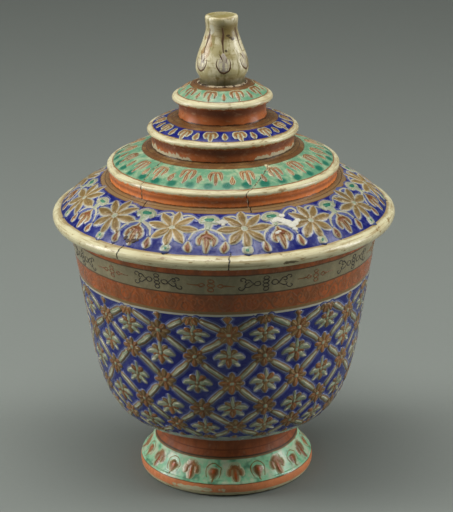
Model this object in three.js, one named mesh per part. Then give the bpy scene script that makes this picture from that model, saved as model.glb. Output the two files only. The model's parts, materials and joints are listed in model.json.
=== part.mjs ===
// A lidded jar in enamelled porcelain: a footed bowl and a stepped lid that lifts off by its bud knop.
// Units are millimetres and +Z is up. The origin is the middle of the circle that the foot stands on,
// and -Y is the side that faces the viewer. Every piece is thrown on a wheel, so every solid is a revolve.
import * as THREE from 'three';

// Facets
const facets = {
  around: 40, // flats round the wide pieces
  aroundSmall: 32, // flats round the top tier, the knop and its bedding
  bow: 4, // steps along a gently bowed stretch
  quarter: 4, // steps along a quarter turn of a bead or lip
  belly: 9, // steps along the belly of the bowl
};

// The foot, a hollow flared pedestal luted under the bowl
const foot = {
  height: 25.5,
  wall: 4.2,
  treadRadius: 35.4, // outer edge of the flat ring that meets the table
  treadWidth: 3.4,
  rollRadius: 38.1, // widest circle of the rounded base
  rollHeight: 3.8,
  flareFootRadius: 36.8, // where the rounded base meets the flare
  flareFootHeight: 6.9,
  flareTopRadius: 31.3,
  flareTopHeight: 15.3,
  flareHollow: 0.4, // how far the flare dips inside a straight line
  collarRadius: 30.4, // top of the small sloping collar above the flare
  collarHeight: 16.4,
  neckRadius: 29.3,
  neckHeight: 20.2,
  topRadius: 30.2, // joint with the bowl
  recessHeight: 17.5, // where the inside of the foot turns straight
};

// The bowl: a nearly flat underside, a round belly and a straight wall that leans outwards
const bowl = {
  height: 89.5,
  wall: 4.0,
  rimRadius: 66.2,
  bellyRadius: 58.55, // where the belly ends and the straight wall begins
  bellyHeight: 41.5,
  lipRounding: 0.8,
};
// Places of the belly's two pull points, as shares of the way from the foot joint to the straight wall
const bellyShares = { underOut: 0.508, underUp: 0.012, sideOut: 0.84, sideUp: 0.205 };

// The lid's locating flange, which drops inside the bowl's mouth
const flange = {
  depth: 7.0,
  wall: 3.2,
  mouthClearance: 1.0, // running gap all round between flange and mouth
  lipRounding: 1.1,
};

// The lid's storeys, from the brim up. Each is a ring with a riser, a rolled rim, a bowed roof and
// a narrow band that climbs to the flat seat of the next one. Heights start at the storey's own seat.
const brim = {
  wall: 4.5,
  riserRadius: 70.4, // where the flat underside turns up into the rolled rim
  riserHeight: 0,
  riserSwell: 0,
  rimRadius: 73.0,
  rimHeight: 3.0,
  roofFootRadius: 69.5,
  roofFootHeight: 5.5,
  roofTopRadius: 51.7,
  roofTopHeight: 17.65,
  roofBulge: 1.5,
  bandRadius: 48.7,
  seatHeight: 18.5,
};
const lowerTier = {
  wall: 4.0,
  riserRadius: 48.3,
  riserHeight: 3.95,
  riserSwell: 0,
  rimRadius: 49.3,
  rimHeight: 5.45,
  roofFootRadius: 47.1,
  roofFootHeight: 7.0,
  roofTopRadius: 34.2,
  roofTopHeight: 12.4,
  roofBulge: 0.7,
  bandRadius: 31.1,
  seatHeight: 13.6,
};
const middleTier = {
  wall: 4.0,
  riserRadius: 30.1,
  riserHeight: 5.6,
  riserSwell: 0,
  rimRadius: 32.0,
  rimHeight: 7.1,
  roofFootRadius: 30.1,
  roofFootHeight: 8.6,
  roofTopRadius: 22.4,
  roofTopHeight: 11.7,
  roofBulge: 0.5,
  bandRadius: 19.4,
  seatHeight: 12.5,
};
const upperTier = {
  wall: 4.0,
  riserRadius: 18.7,
  riserHeight: 6.7,
  riserSwell: -0.4, // the riser is drawn in a little at its middle
  rimRadius: 21.2,
  rimHeight: 8.1,
  roofFootRadius: 19.0,
  roofFootHeight: 9.9,
  roofTopRadius: 13.6,
  roofTopHeight: 13.6,
  roofBulge: 0.3,
  bandRadius: 11.2,
  seatHeight: 14.3,
};

// The thin bed of filler that holds the knop and squeezes out round its foot
const bedding = { radius: 10.6, height: 0.5 };

// The knop, a slender lotus bud whose tip is ground off flat
const knop = {
  height: 27.9,
  footRadius: 9.55,
  footHeight: 1.2,
  budRadius: 11.1,
  budHeight: 5.9,
  waistRadius: 6.6,
  waistHeight: 22.4,
  lipRadius: 6.9,
  lipHeight: 26.6,
  topRadius: 6.1,
};
// Pull points of the bud's lower and upper curves, as shares of the height that each one spans
const budShares = { lowerStart: 0.43, lowerEnd: 0.49, upperStart: 0.34, upperEnd: 0.36, upperIn: 0.22 };

// Fired colours
const colours = {
  cobalt: 0x27317d,
  leafGreen: 0x7aa488,
  ironRed: 0x9c5b38,
  cream: 0xd5c9a2,
  bud: 0xb5a678,
  filler: 0xa98f7c,
};

// An outline in radius and height, walked anticlockwise with the clay on the left hand
class Outline {
  constructor(radius, height) {
    this.points = [new THREE.Vector2(radius, height)];
  }

  get last() {
    return this.points[this.points.length - 1];
  }

  to(radius, height) {
    const next = new THREE.Vector2(radius, height);
    if (!next.equals(this.last)) this.points.push(next);
    return this;
  }

  along(curve, steps) {
    for (const point of curve.getPoints(steps).slice(1)) this.to(point.x, point.y);
    return this;
  }

  // A stretch that swells out of the clay by the bulge, or dips into it where the bulge is negative
  bowTo(radius, height, bulge) {
    const start = this.last.clone();
    const end = new THREE.Vector2(radius, height);
    if (bulge === 0) return this.to(radius, height);
    const chord = end.clone().sub(start);
    const outward = new THREE.Vector2(chord.y, -chord.x).normalize();
    const pull = start.clone().add(end).multiplyScalar(1 / 2).addScaledVector(outward, 2 * bulge);
    return this.along(new THREE.QuadraticBezierCurve(start, pull, end), facets.bow);
  }

  // A rolled bead: a quarter ellipse out to its widest circle and another back in to its top edge
  bead(widestRadius, widestHeight, topRadius, topHeight) {
    const { x, y } = this.last;
    const under = new THREE.EllipseCurve(
      x, widestHeight, widestRadius - x, widestHeight - y, -Math.PI / 2, 0, false, 0);
    const over = new THREE.EllipseCurve(
      topRadius, widestHeight, widestRadius - topRadius, topHeight - widestHeight, 0, Math.PI / 2, false, 0);
    return this.along(under, facets.quarter).along(over, facets.quarter);
  }

  // A rounded corner that leaves the line from here to the corner and ends at the given point
  roundTo(cornerRadius, cornerHeight, endRadius, endHeight) {
    const corner = new THREE.Vector2(cornerRadius, cornerHeight);
    const end = new THREE.Vector2(endRadius, endHeight);
    return this.along(new THREE.QuadraticBezierCurve(this.last.clone(), corner, end), facets.quarter);
  }

  close() {
    return this.to(this.points[0].x, this.points[0].y);
  }
}

// The same stretch of outline, moved into the clay by the wall's thickness
function insideOf(points, wall) {
  return points.map((point, index) => {
    const before = points[Math.max(index - 1, 0)];
    const after = points[Math.min(index + 1, points.length - 1)];
    const run = after.clone().sub(before).normalize();
    return new THREE.Vector2(point.x - run.y * wall, point.y + run.x * wall);
  });
}

function turned(name, outline, around, colour, roughness) {
  const geometry = new THREE.LatheGeometry(outline.points, around);
  geometry.rotateX(Math.PI / 2);
  const material = new THREE.MeshStandardMaterial({ color: colour, roughness, metalness: 0 });
  const mesh = new THREE.Mesh(geometry, material);
  mesh.name = name;
  return mesh;
}

function footOutline() {
  const treadInnerRadius = foot.treadRadius - foot.treadWidth;
  const recessRadius = foot.neckRadius - foot.wall;
  const outline = new Outline(treadInnerRadius, 0).to(foot.treadRadius, 0);
  outline.bead(foot.rollRadius, foot.rollHeight, foot.flareFootRadius, foot.flareFootHeight);
  outline.bowTo(foot.flareTopRadius, foot.flareTopHeight, -foot.flareHollow);
  outline.to(foot.collarRadius, foot.collarHeight);
  const neckLow = new THREE.QuadraticBezierCurve(
    outline.last.clone(),
    new THREE.Vector2(foot.neckRadius, (foot.collarHeight + foot.neckHeight) / 2),
    new THREE.Vector2(foot.neckRadius, foot.neckHeight));
  const neckHigh = new THREE.QuadraticBezierCurve(
    new THREE.Vector2(foot.neckRadius, foot.neckHeight),
    new THREE.Vector2(foot.neckRadius, (foot.neckHeight + foot.height) / 2),
    new THREE.Vector2(foot.topRadius, foot.height));
  outline.along(neckLow, facets.quarter).along(neckHigh, facets.quarter);
  outline.to(recessRadius, foot.height).to(recessRadius, foot.recessHeight);
  return outline.bowTo(treadInnerRadius, 0, -foot.flareHollow);
}

// How far the straight wall of the bowl leans out for each millimetre that it climbs
function wallLean() {
  return (bowl.rimRadius - bowl.bellyRadius) / (bowl.height - bowl.bellyHeight);
}

// Inner radius of the mouth at a depth below the rim
function mouthRadius(depth) {
  return bowl.rimRadius - bowl.wall * Math.hypot(1, wallLean()) - wallLean() * depth;
}

function bowlOutline() {
  const reach = bowl.bellyRadius - foot.topRadius;
  const belly = new THREE.CubicBezierCurve(
    new THREE.Vector2(foot.topRadius, 0),
    new THREE.Vector2(
      foot.topRadius + reach * bellyShares.underOut, bowl.bellyHeight * bellyShares.underUp),
    new THREE.Vector2(
      foot.topRadius + reach * bellyShares.sideOut, bowl.bellyHeight * bellyShares.sideUp),
    new THREE.Vector2(bowl.bellyRadius, bowl.bellyHeight));
  const skin = belly.getPoints(facets.belly);
  const inside = insideOf(skin, bowl.wall).reverse();
  const lip = bowl.lipRounding;
  const outline = new Outline(0, 0);
  for (const point of skin) outline.to(point.x, point.y);
  outline.to(bowl.rimRadius - lip * wallLean(), bowl.height - lip);
  outline.roundTo(bowl.rimRadius, bowl.height, bowl.rimRadius - lip, bowl.height);
  outline.to(mouthRadius(0) + lip, bowl.height);
  outline.roundTo(mouthRadius(0), bowl.height, mouthRadius(lip), bowl.height - lip);
  for (const point of inside) outline.to(point.x, point.y);
  return outline.to(0, bowl.wall);
}

// Outer radius of the flange at a depth below the brim: it follows the mouth at its clearance
function flangeRadius(depth) {
  return mouthRadius(depth) - flange.mouthClearance;
}

function flangeOutline() {
  const outer = flangeRadius(flange.depth);
  const inner = outer - flange.wall;
  const lip = flange.lipRounding;
  const outline = new Outline(flangeRadius(0) - flange.wall, 0);
  outline.to(flangeRadius(flange.depth - lip) - flange.wall, lip - flange.depth);
  outline.roundTo(inner, -flange.depth, inner + lip, -flange.depth).to(outer - lip, -flange.depth);
  outline.roundTo(outer, -flange.depth, flangeRadius(flange.depth - lip), lip - flange.depth);
  return outline.to(flangeRadius(0), 0).close();
}

// Radius of the hollow inside a storey's riser
function boreRadius(storey) {
  return storey.riserRadius - storey.wall;
}

// A storey's outline. It starts under the seat, comes down the inside and goes back up the outside.
function storeyOutline(storey, innerRadius, seatOpening) {
  const fall = (storey.roofTopHeight - storey.roofFootHeight) / (storey.roofFootRadius - storey.roofTopRadius);
  const drop = storey.wall * Math.hypot(1, fall);
  const ceiling = storey.seatHeight - storey.wall;
  const ceilingEdge = storey.roofTopRadius - (ceiling - storey.roofTopHeight + drop) / fall;
  const springing = storey.roofTopHeight - drop - (innerRadius - storey.roofTopRadius) * fall;
  const outline = new Outline(seatOpening, ceiling).to(ceilingEdge, ceiling);
  outline.bowTo(innerRadius, springing, -storey.roofBulge).to(innerRadius, 0);
  outline.to(storey.riserRadius, 0).bowTo(storey.riserRadius, storey.riserHeight, storey.riserSwell);
  outline.bead(storey.rimRadius, storey.rimHeight, storey.roofFootRadius, storey.roofFootHeight);
  outline.bowTo(storey.roofTopRadius, storey.roofTopHeight, storey.roofBulge);
  outline.to(storey.bandRadius, storey.seatHeight).to(seatOpening, storey.seatHeight);
  return seatOpening > 0 ? outline.close() : outline;
}

function beddingOutline() {
  return new Outline(0, 0)
    .to(bedding.radius, 0)
    .roundTo(bedding.radius, bedding.height, knop.footRadius, bedding.height)
    .to(0, bedding.height);
}

function knopOutline() {
  const lower = knop.budHeight - knop.footHeight;
  const upper = knop.waistHeight - knop.budHeight;
  const outline = new Outline(0, 0).to(knop.footRadius, 0).to(knop.footRadius, knop.footHeight);
  outline.along(new THREE.CubicBezierCurve(
    outline.last.clone(),
    new THREE.Vector2(knop.footRadius, knop.footHeight + lower * budShares.lowerStart),
    new THREE.Vector2(knop.budRadius, knop.budHeight - lower * budShares.lowerEnd),
    new THREE.Vector2(knop.budRadius, knop.budHeight)), facets.bow);
  outline.along(new THREE.CubicBezierCurve(
    outline.last.clone(),
    new THREE.Vector2(knop.budRadius, knop.budHeight + upper * budShares.upperStart),
    new THREE.Vector2(
      knop.waistRadius + (knop.budRadius - knop.waistRadius) * budShares.upperIn,
      knop.waistHeight - upper * budShares.upperEnd),
    new THREE.Vector2(knop.waistRadius, knop.waistHeight)), 2 * facets.bow);
  outline.to(knop.lipRadius, knop.lipHeight);
  return outline.roundTo(knop.lipRadius, knop.height, knop.topRadius, knop.height).to(0, knop.height);
}

function base() {
  const group = new THREE.Group();
  const bowlMesh = turned('bowl', bowlOutline(), facets.around, colours.cobalt, 0.25);
  bowlMesh.position.z = foot.height;
  group.add(turned('foot_ring', footOutline(), facets.around, colours.leafGreen, 0.25), bowlMesh);
  return group;
}

function lid() {
  const group = new THREE.Group();
  const around = facets.around;
  group.position.z = foot.height + bowl.height;
  group.add(turned('lid_flange', flangeOutline(), around, colours.cream, 0.35));
  const innerBrim = flangeRadius(0) - flange.wall;
  const storeys = [
    ['lid_brim', brim, innerBrim, boreRadius(lowerTier), around, colours.cobalt],
    ['lid_lower_tier', lowerTier, boreRadius(lowerTier), boreRadius(middleTier), around, colours.leafGreen],
    ['lid_middle_tier', middleTier, boreRadius(middleTier), boreRadius(upperTier), around, colours.cobalt],
    ['lid_upper_tier', upperTier, boreRadius(upperTier), 0, facets.aroundSmall, colours.leafGreen],
  ];
  let seat = 0;
  for (const [name, storey, innerRadius, opening, flats, colour] of storeys) {
    const mesh = turned(name, storeyOutline(storey, innerRadius, opening), flats, colour, 0.25);
    mesh.position.z = seat;
    seat += storey.seatHeight;
    group.add(mesh);
  }
  const bed = turned('knop_bedding', beddingOutline(), facets.aroundSmall, colours.filler, 0.8);
  bed.position.z = seat;
  const bud = turned('bud_knop', knopOutline(), facets.aroundSmall, colours.bud, 0.35);
  bud.position.z = seat + bedding.height;
  group.add(bed, bud);
  return group;
}

const jar = new THREE.Group();
jar.add(base(), lid());

export default jar;
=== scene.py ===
# Dresses a packed lidded jar as overglaze enamelled porcelain: smooth turned skins in the jar's glazes,
# and over them the raised enamel flowers, lattice and leaves. Lengths are metres unless a comment or a
# docstring says mm. A turn is an angle round the jar in degrees, from the front (-Y) to the right (+X).
import json
import math
from collections import namedtuple
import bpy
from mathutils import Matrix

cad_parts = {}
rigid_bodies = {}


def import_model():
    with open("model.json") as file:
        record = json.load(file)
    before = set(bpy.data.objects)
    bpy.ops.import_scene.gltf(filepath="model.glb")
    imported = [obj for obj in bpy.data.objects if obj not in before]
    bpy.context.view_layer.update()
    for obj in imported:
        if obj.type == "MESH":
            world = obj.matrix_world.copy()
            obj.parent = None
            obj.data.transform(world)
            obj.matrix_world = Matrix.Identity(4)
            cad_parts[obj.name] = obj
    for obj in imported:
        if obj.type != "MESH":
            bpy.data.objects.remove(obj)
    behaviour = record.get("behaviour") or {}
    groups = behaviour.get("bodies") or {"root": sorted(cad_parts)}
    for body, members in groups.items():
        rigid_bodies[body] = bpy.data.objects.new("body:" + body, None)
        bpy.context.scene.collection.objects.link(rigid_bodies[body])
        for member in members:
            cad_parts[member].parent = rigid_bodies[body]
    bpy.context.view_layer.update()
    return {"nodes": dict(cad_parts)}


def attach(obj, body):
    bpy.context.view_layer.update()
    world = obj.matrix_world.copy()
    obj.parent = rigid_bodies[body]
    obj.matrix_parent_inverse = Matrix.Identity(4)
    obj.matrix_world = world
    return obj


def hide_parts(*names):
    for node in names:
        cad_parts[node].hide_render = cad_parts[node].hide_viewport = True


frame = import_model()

from types import SimpleNamespace

import bpy
from bpy.props import FloatProperty, FloatVectorProperty, IntProperty, PointerProperty
from mathutils import Vector

MM = 0.001

bl_info = {
    "name": "Enamelled lidded jar",
    "version": (1, 0, 0),
    "blender": (4, 5, 0),
    "location": "3D View > Sidebar > Jar",
    "description": "Dresses a turned porcelain jar in cobalt, green and iron red enamels",
    "category": "Object",
}

# Choices


def colour_choice(description, *screen):
    """A colour given as screen values out of 255 and kept in linear light."""
    fired = [((value / 255 + 0.055) / 1.055) ** 2.4 for value in screen]
    return FloatVectorProperty(description=description, default=fired, subtype="COLOR", size=3, min=0, max=1)


def length_choice(description, default, most):
    return FloatProperty(
        description=description, default=default, min=0, max=most, precision=5, unit="LENGTH")


def angle_choice(description, degrees):
    return FloatProperty(description=description, default=math.radians(degrees), unit="ROTATION")


def count_choice(description, default):
    return IntProperty(description=description, default=default, min=5, max=40)


class JarPalette(bpy.types.PropertyGroup):
    """The glazes and enamels."""

    cobalt: colour_choice("Blue ground of the bowl, the brim and the middle tier", 10, 21, 106)
    cobalt_pale: colour_choice("Blue where the brush left it thin", 78, 86, 136)
    halo: colour_choice("Pale edge left round each motif on the blue", 150, 156, 172)
    celadon: colour_choice("Pale green white petals and bars", 154, 157, 132)
    gilt: colour_choice("Worn gold and the brown enamel under it", 152, 122, 74)
    umber: colour_choice("Thin brown outlines", 104, 74, 44)
    iron_red: colour_choice("Red brown leaves and flowers", 148, 86, 42)
    orange: colour_choice("Plain bands, risers and neck", 184, 94, 42)
    leaf_green: colour_choice("Green ground of the tiers and the foot", 114, 158, 122)
    pool_green: colour_choice("Green where the enamel lies thick", 24, 98, 78)
    cream: colour_choice("Glaze left plain on rims and linings", 202, 195, 157)
    ivory: colour_choice("Glaze of the knop", 204, 193, 150)
    stain: colour_choice("Yellow brown stains and scratches", 138, 110, 62)
    olive: colour_choice("Stains in the glaze of the knop", 126, 114, 56)
    ink: colour_choice("Black scrolls and cracks", 36, 34, 30)
    filler: colour_choice("Old repair filler round the knop", 176, 146, 122)


class JarPattern(bpy.types.PropertyGroup):
    """The sizes of the painted pattern."""

    rise: length_choice("Height of a full stroke above the glaze", 0.00015, 0.0006)
    halo: length_choice("Pale edge round a stroke", 0.0006, 0.002)
    wander: length_choice("How far a painted line strays from its place", 0.0005, 0.003)
    lattice_columns: count_choice("Columns of crossings round the bowl", 13)
    brim_flowers: count_choice("Flowers round the brim", 13)
    lower_leaves: count_choice("Leaves round the lower tier", 20)
    middle_leaves: count_choice("Leaves round the middle tier", 14)
    upper_leaves: count_choice("Leaves round the upper tier", 9)
    foot_leaves: count_choice("Leaves round the foot", 11)


class JarStage(bpy.types.PropertyGroup):
    """The floor, the lamps and the camera."""

    floor: colour_choice("Plain floor and backdrop", 119, 124, 118)
    distance: length_choice("From the camera to the point it looks at", 0.8628, 5)
    aim: length_choice("Height of the point the camera looks at", 0.0966, 0.3)
    elevation: angle_choice("The camera's angle above the horizon", 19.1)
    roll: angle_choice("Tilt of the picture", -0.66)
    lamp: FloatProperty(description="Share of the lamps' full power", default=1, min=0, max=4)


class Colour(tuple):
    """A colour in linear light."""

    def to(self, other, share):
        """This share of the way to another colour."""
        return Colour(a + (b - a) * share for a, b in zip(self, other))

    def times(self, factor):
        return Colour(value * factor for value in self)


def hues():
    """The chosen colours by name, and white."""
    palette = bpy.context.scene.jar_palette
    chosen = {name: Colour(getattr(palette, name)) for name in JarPalette.__annotations__}
    return SimpleNamespace(white=Colour((1, 1, 1)), **chosen)


# Node trees written as sums


class Wire:
    """One socket of a node tree, so that numbers worked out from it are written as sums."""

    def __init__(self, bench, socket):
        self.bench, self.socket = bench, socket

    def beside(self, name):
        """Another output of the same node."""
        return Wire(self.bench, self.socket.node.outputs[name])

    def worked(self, operation, *values):
        return self.bench.node("ShaderNodeMath", {"operation": operation}, dict(enumerate(values)))

    def __abs__(self):
        return self.worked("ABSOLUTE", self)


def overload(sign, operation):
    """Gives wires an operator, and its reflection for a plain number on the left."""
    setattr(Wire, f"__{sign}__", lambda wire, other: wire.worked(operation, wire, other))
    setattr(Wire, f"__r{sign}__", lambda wire, other: wire.worked(operation, other, wire))


for sign, operation in (
        ("add", "ADD"), ("sub", "SUBTRACT"), ("mul", "MULTIPLY"), ("truediv", "DIVIDE"), ("pow", "POWER")):
    overload(sign, operation)


class Bench:
    """Adds nodes to a tree."""

    def __init__(self, tree):
        self.tree = tree

    def node(self, kind, settings=None, sockets=None, output=0):
        made = self.tree.nodes.new(kind)
        for setting, value in (settings or {}).items():
            setattr(made, setting, value)
        for name, value in (sockets or {}).items():
            if isinstance(value, Wire):
                self.tree.links.new(value.socket, made.inputs[name])
            else:
                made.inputs[name].default_value = (*value, 1) if isinstance(value, Colour) else value
        return Wire(self, made.outputs[output]) if made.outputs else made

    def vector(self, x, y, z):
        return self.node("ShaderNodeCombineXYZ", sockets={"X": x, "Y": y, "Z": z})

    def split(self, vector):
        """The vector's X. Its Y and Z are beside it."""
        return self.node("ShaderNodeSeparateXYZ", sockets={0: vector})

    def scaled(self, vector, factors):
        return self.node("ShaderNodeVectorMath", {"operation": "MULTIPLY"}, {0: vector, 1: factors})


class Coat(Bench):
    """The finish of one piece. Places are in mm, worked out from its Object coordinates."""

    ior = 1.42
    crack_width = 0.16

    def __init__(self, name, roughness=0.22, metallic=0):
        self.hue = hues()
        self.material = bpy.data.materials.new(name)
        self.material.use_nodes = True
        super().__init__(self.material.node_tree)
        self.tree.nodes.clear()
        self.gloss = {"Roughness": roughness, "IOR": self.ior, "Metallic": metallic}
        self.place = self.scaled(self.node("ShaderNodeTexCoord", output="Object"), (1 / MM, 1 / MM, 1 / MM))
        x = self.split(self.place)
        y, self.height = x.beside("Y"), x.beside("Z")
        self.radius = (x * x + y * y) ** 0.5
        self.turn = x.worked("ARCTAN2", x, y * -1) * math.degrees(1)

    def noise(self, size, detail=2, rough=0.5, stretch=(1, 1, 1), twist=0):
        """Cloudy values about 0.5, in patches of this size."""
        where = self.scaled(self.place, tuple(factor / size for factor in stretch))
        return self.node("ShaderNodeTexNoise", sockets={
            "Vector": where, "Scale": 1, "Detail": detail, "Roughness": rough, "Distortion": twist})

    def grade(self, value, low, high, start=0, end=1):
        """Goes softly from start to end as the value goes from low to high."""
        return self.node("ShaderNodeMapRange", {"interpolation_type": "SMOOTHSTEP"}, {
            "Value": value, "From Min": low, "From Max": high, "To Min": start, "To Max": end})

    def blots(self, low, high, *noise):
        """Spots where a noise climbs from low to high."""
        return self.grade(self.noise(*noise), low, high)

    def uneven(self, cloud, low, high):
        """Values from low to high that follow a noise."""
        return self.grade(cloud, 0.3, 0.7, low, high)

    def strayed(self, value, reach, *noise):
        """The value, moved up and down by a noise."""
        return value + (self.noise(*noise) - 0.5) * reach

    def mix(self, factor, first, second):
        return self.node("ShaderNodeMix", {"data_type": "RGBA"}, {0: factor, 6: first, 7: second}, output=2)

    def band(self, value, low, high, soft):
        """1 between low and high, and 0 outside."""
        return self.grade(value, low - soft, low + soft) * self.grade(value, high - soft, high + soft, 1, 0)

    def zones(self, value, colour, steps, soft=0.12):
        """Colours stacked along a value: each step is where a colour begins, and the colour."""
        for begins, following in steps:
            colour = self.mix(self.grade(value, begins - soft, begins + soft), colour, following)
        return colour

    def crack(self, turn, radius, drift, low, high):
        """A crack that crosses a radius at a turn and drifts round by so many degrees for each mm inwards."""
        astray = (self.turn - turn - (radius - self.radius) * drift) * (math.pi / 180) * self.radius
        line = self.grade(
            abs(self.strayed(astray, 2.2, 3, 3)), self.crack_width * 0.6, self.crack_width * 2.2, 1, 0)
        return line * self.band(self.height, low, high, 0.3)

    def patch(self, turn, height, reach, climb, ragged=0.5, grain=2.2):
        """A ragged spot: reach is half its width round the jar, climb half its height."""
        across = (self.turn - turn) * (math.pi / 180) * self.radius / reach
        up = (self.height - height) / climb
        away = self.strayed((across * across + up * up) ** 0.5, 4 * ragged, grain, 3)
        return self.grade(away, 0.85, 1.05, 1, 0)

    def most(self, masks):
        """The highest of several masks."""
        most, *others = masks
        for mask in others:
            most = most.worked("MAXIMUM", most, mask)
        return most

    def ground(self, thick, thin, size=9):
        """A washed ground: streaks of the brush, darker where it pooled."""
        streaks = self.noise(size, 3, 0.55, (1, 1, 0.6), 0.4)
        return self.mix(self.grade(streaks * 0.75 + self.noise(1.3) * 0.25, 0.42, 0.72), thick, thin)

    def orange_wash(self):
        """Thin iron red laid on with upright brush marks."""
        orange = self.hue.orange
        marks = self.blots(0.38, 0.62, 4, 4, 0.6, (1, 1, 0.3))
        thin = self.blots(0.56, 0.76, 2.2, 3, 0.5, (1, 1, 0.5))
        deep = self.mix(marks, orange.times(0.6), orange.to(self.hue.iron_red, 0.15))
        return self.mix(thin * 0.35, deep, orange.to(self.hue.cream, 0.4))

    def rim_cream(self):
        """Plain glaze on a bead, with clouds, yellow brown scratches that run round it, and bruises."""
        cream, stain = self.hue.cream, self.hue.stain
        colour = self.mix(self.blots(0.42, 0.7, 9, 3) * 0.5, cream, cream.to(stain, 0.5))
        scratches = self.blots(0.5, 0.66, 0.8, 4, 0.65, (0.06, 0.06, 1.5))
        colour = self.mix(scratches * 0.75, colour, cream.to(stain, 0.8))
        bruises = self.blots(0.58, 0.7, 2.6, 3, 0.6, (0.5, 0.5, 1.6))
        return self.mix(bruises * 0.8, colour, stain.to(self.hue.umber, 0.4))

    def roof_band(self, colour, radius, above, gilded=0):
        """The gilt brown band at the head of a roof, inside a radius, worn, with a darker line in it."""
        hue = self.hue
        brown = hue.umber.to(hue.iron_red, 0.1).times(0.9).to(hue.gilt.to(hue.celadon, 0.3), gilded)
        worn = self.blots(0.45, 0.65, 2.4, 4, 0.6, (0.35, 0.35, 1.4))
        tan = self.mix(worn * 0.6, brown, hue.umber.to(hue.gilt, 0.7))
        reach = self.strayed(self.radius, 0.4, 5)
        on_roof = self.grade(self.height, above, above + 0.3)
        edge, line = (hue.umber.to(hue.ink, share) for share in (0.2, 0.3))
        for begins, paint in ((0.35, edge), (0, tan), (-1.5, line), (-1.9, tan)):
            inside = self.grade(reach, radius + begins - 0.12, radius + begins + 0.12, 1, 0)
            colour = self.mix(inside * on_roof, colour, paint)
        return colour

    def finish(self, colour, roughness=None, bump=None):
        sockets = {**self.gloss, "Base Color": colour}
        if roughness is not None:
            sockets["Roughness"] = roughness
        if bump is not None:
            sockets["Normal"] = self.node(
                "ShaderNodeBump", sockets={"Strength": 1, "Distance": MM, "Height": bump})
        shader = self.node("ShaderNodeBsdfPrincipled", sockets=sockets)
        self.node("ShaderNodeOutputMaterial", sockets={"Surface": shader})
        return self.material


# Outlines read from the frame


SAME_PLACE = 3e-6  # corners nearer than this are one
ON_AXIS = 1e-6  # a radius under this is none


def near(first, second):
    return all(abs(one - other) < SAME_PLACE for one, other in zip(first, second))


def walked(node):
    """The node's outline as (radius, height), with the clay on its left, and whether it closes."""
    mesh = frame["nodes"][node].data
    rings, ring_of = [], []
    for vertex in mesh.vertices:
        place = (math.hypot(vertex.co.x, vertex.co.y), vertex.co.z)
        found = next((index for index, ring in enumerate(rings) if near(ring, place)), len(rings))
        if found == len(rings):
            rings.append(place)
        ring_of.append(found)
    beside = {index: set() for index in range(len(rings))}
    for edge in mesh.edges:
        first, second = (ring_of[corner] for corner in edge.vertices)
        if first != second:
            beside[first].add(second)
            beside[second].add(first)
    ends = [index for index in beside if len(beside[index]) == 1]
    lowest = min(rings, key=lambda ring: (round(ring[1], 5), ring[0]))
    path = [min(ends, key=lambda index: rings[index][1]) if ends else rings.index(lowest)]
    while onward := [index for index in sorted(beside[path[-1]]) if index not in path]:
        path.append(onward[0])
    points = [rings[index] for index in path]
    if ends:
        points = [(0, points[0][1])] * (points[0][0] > ON_AXIS) + points
        points += [(0, points[-1][1])] * (points[-1][0] > ON_AXIS)
    area = sum(a[0] * b[1] - b[0] * a[1] for a, b in zip(points, points[1:] + points[:1]))
    if area < 0:
        points = points[::-1] if ends else points[:1] + points[:0:-1]
    return points, not ends


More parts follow.
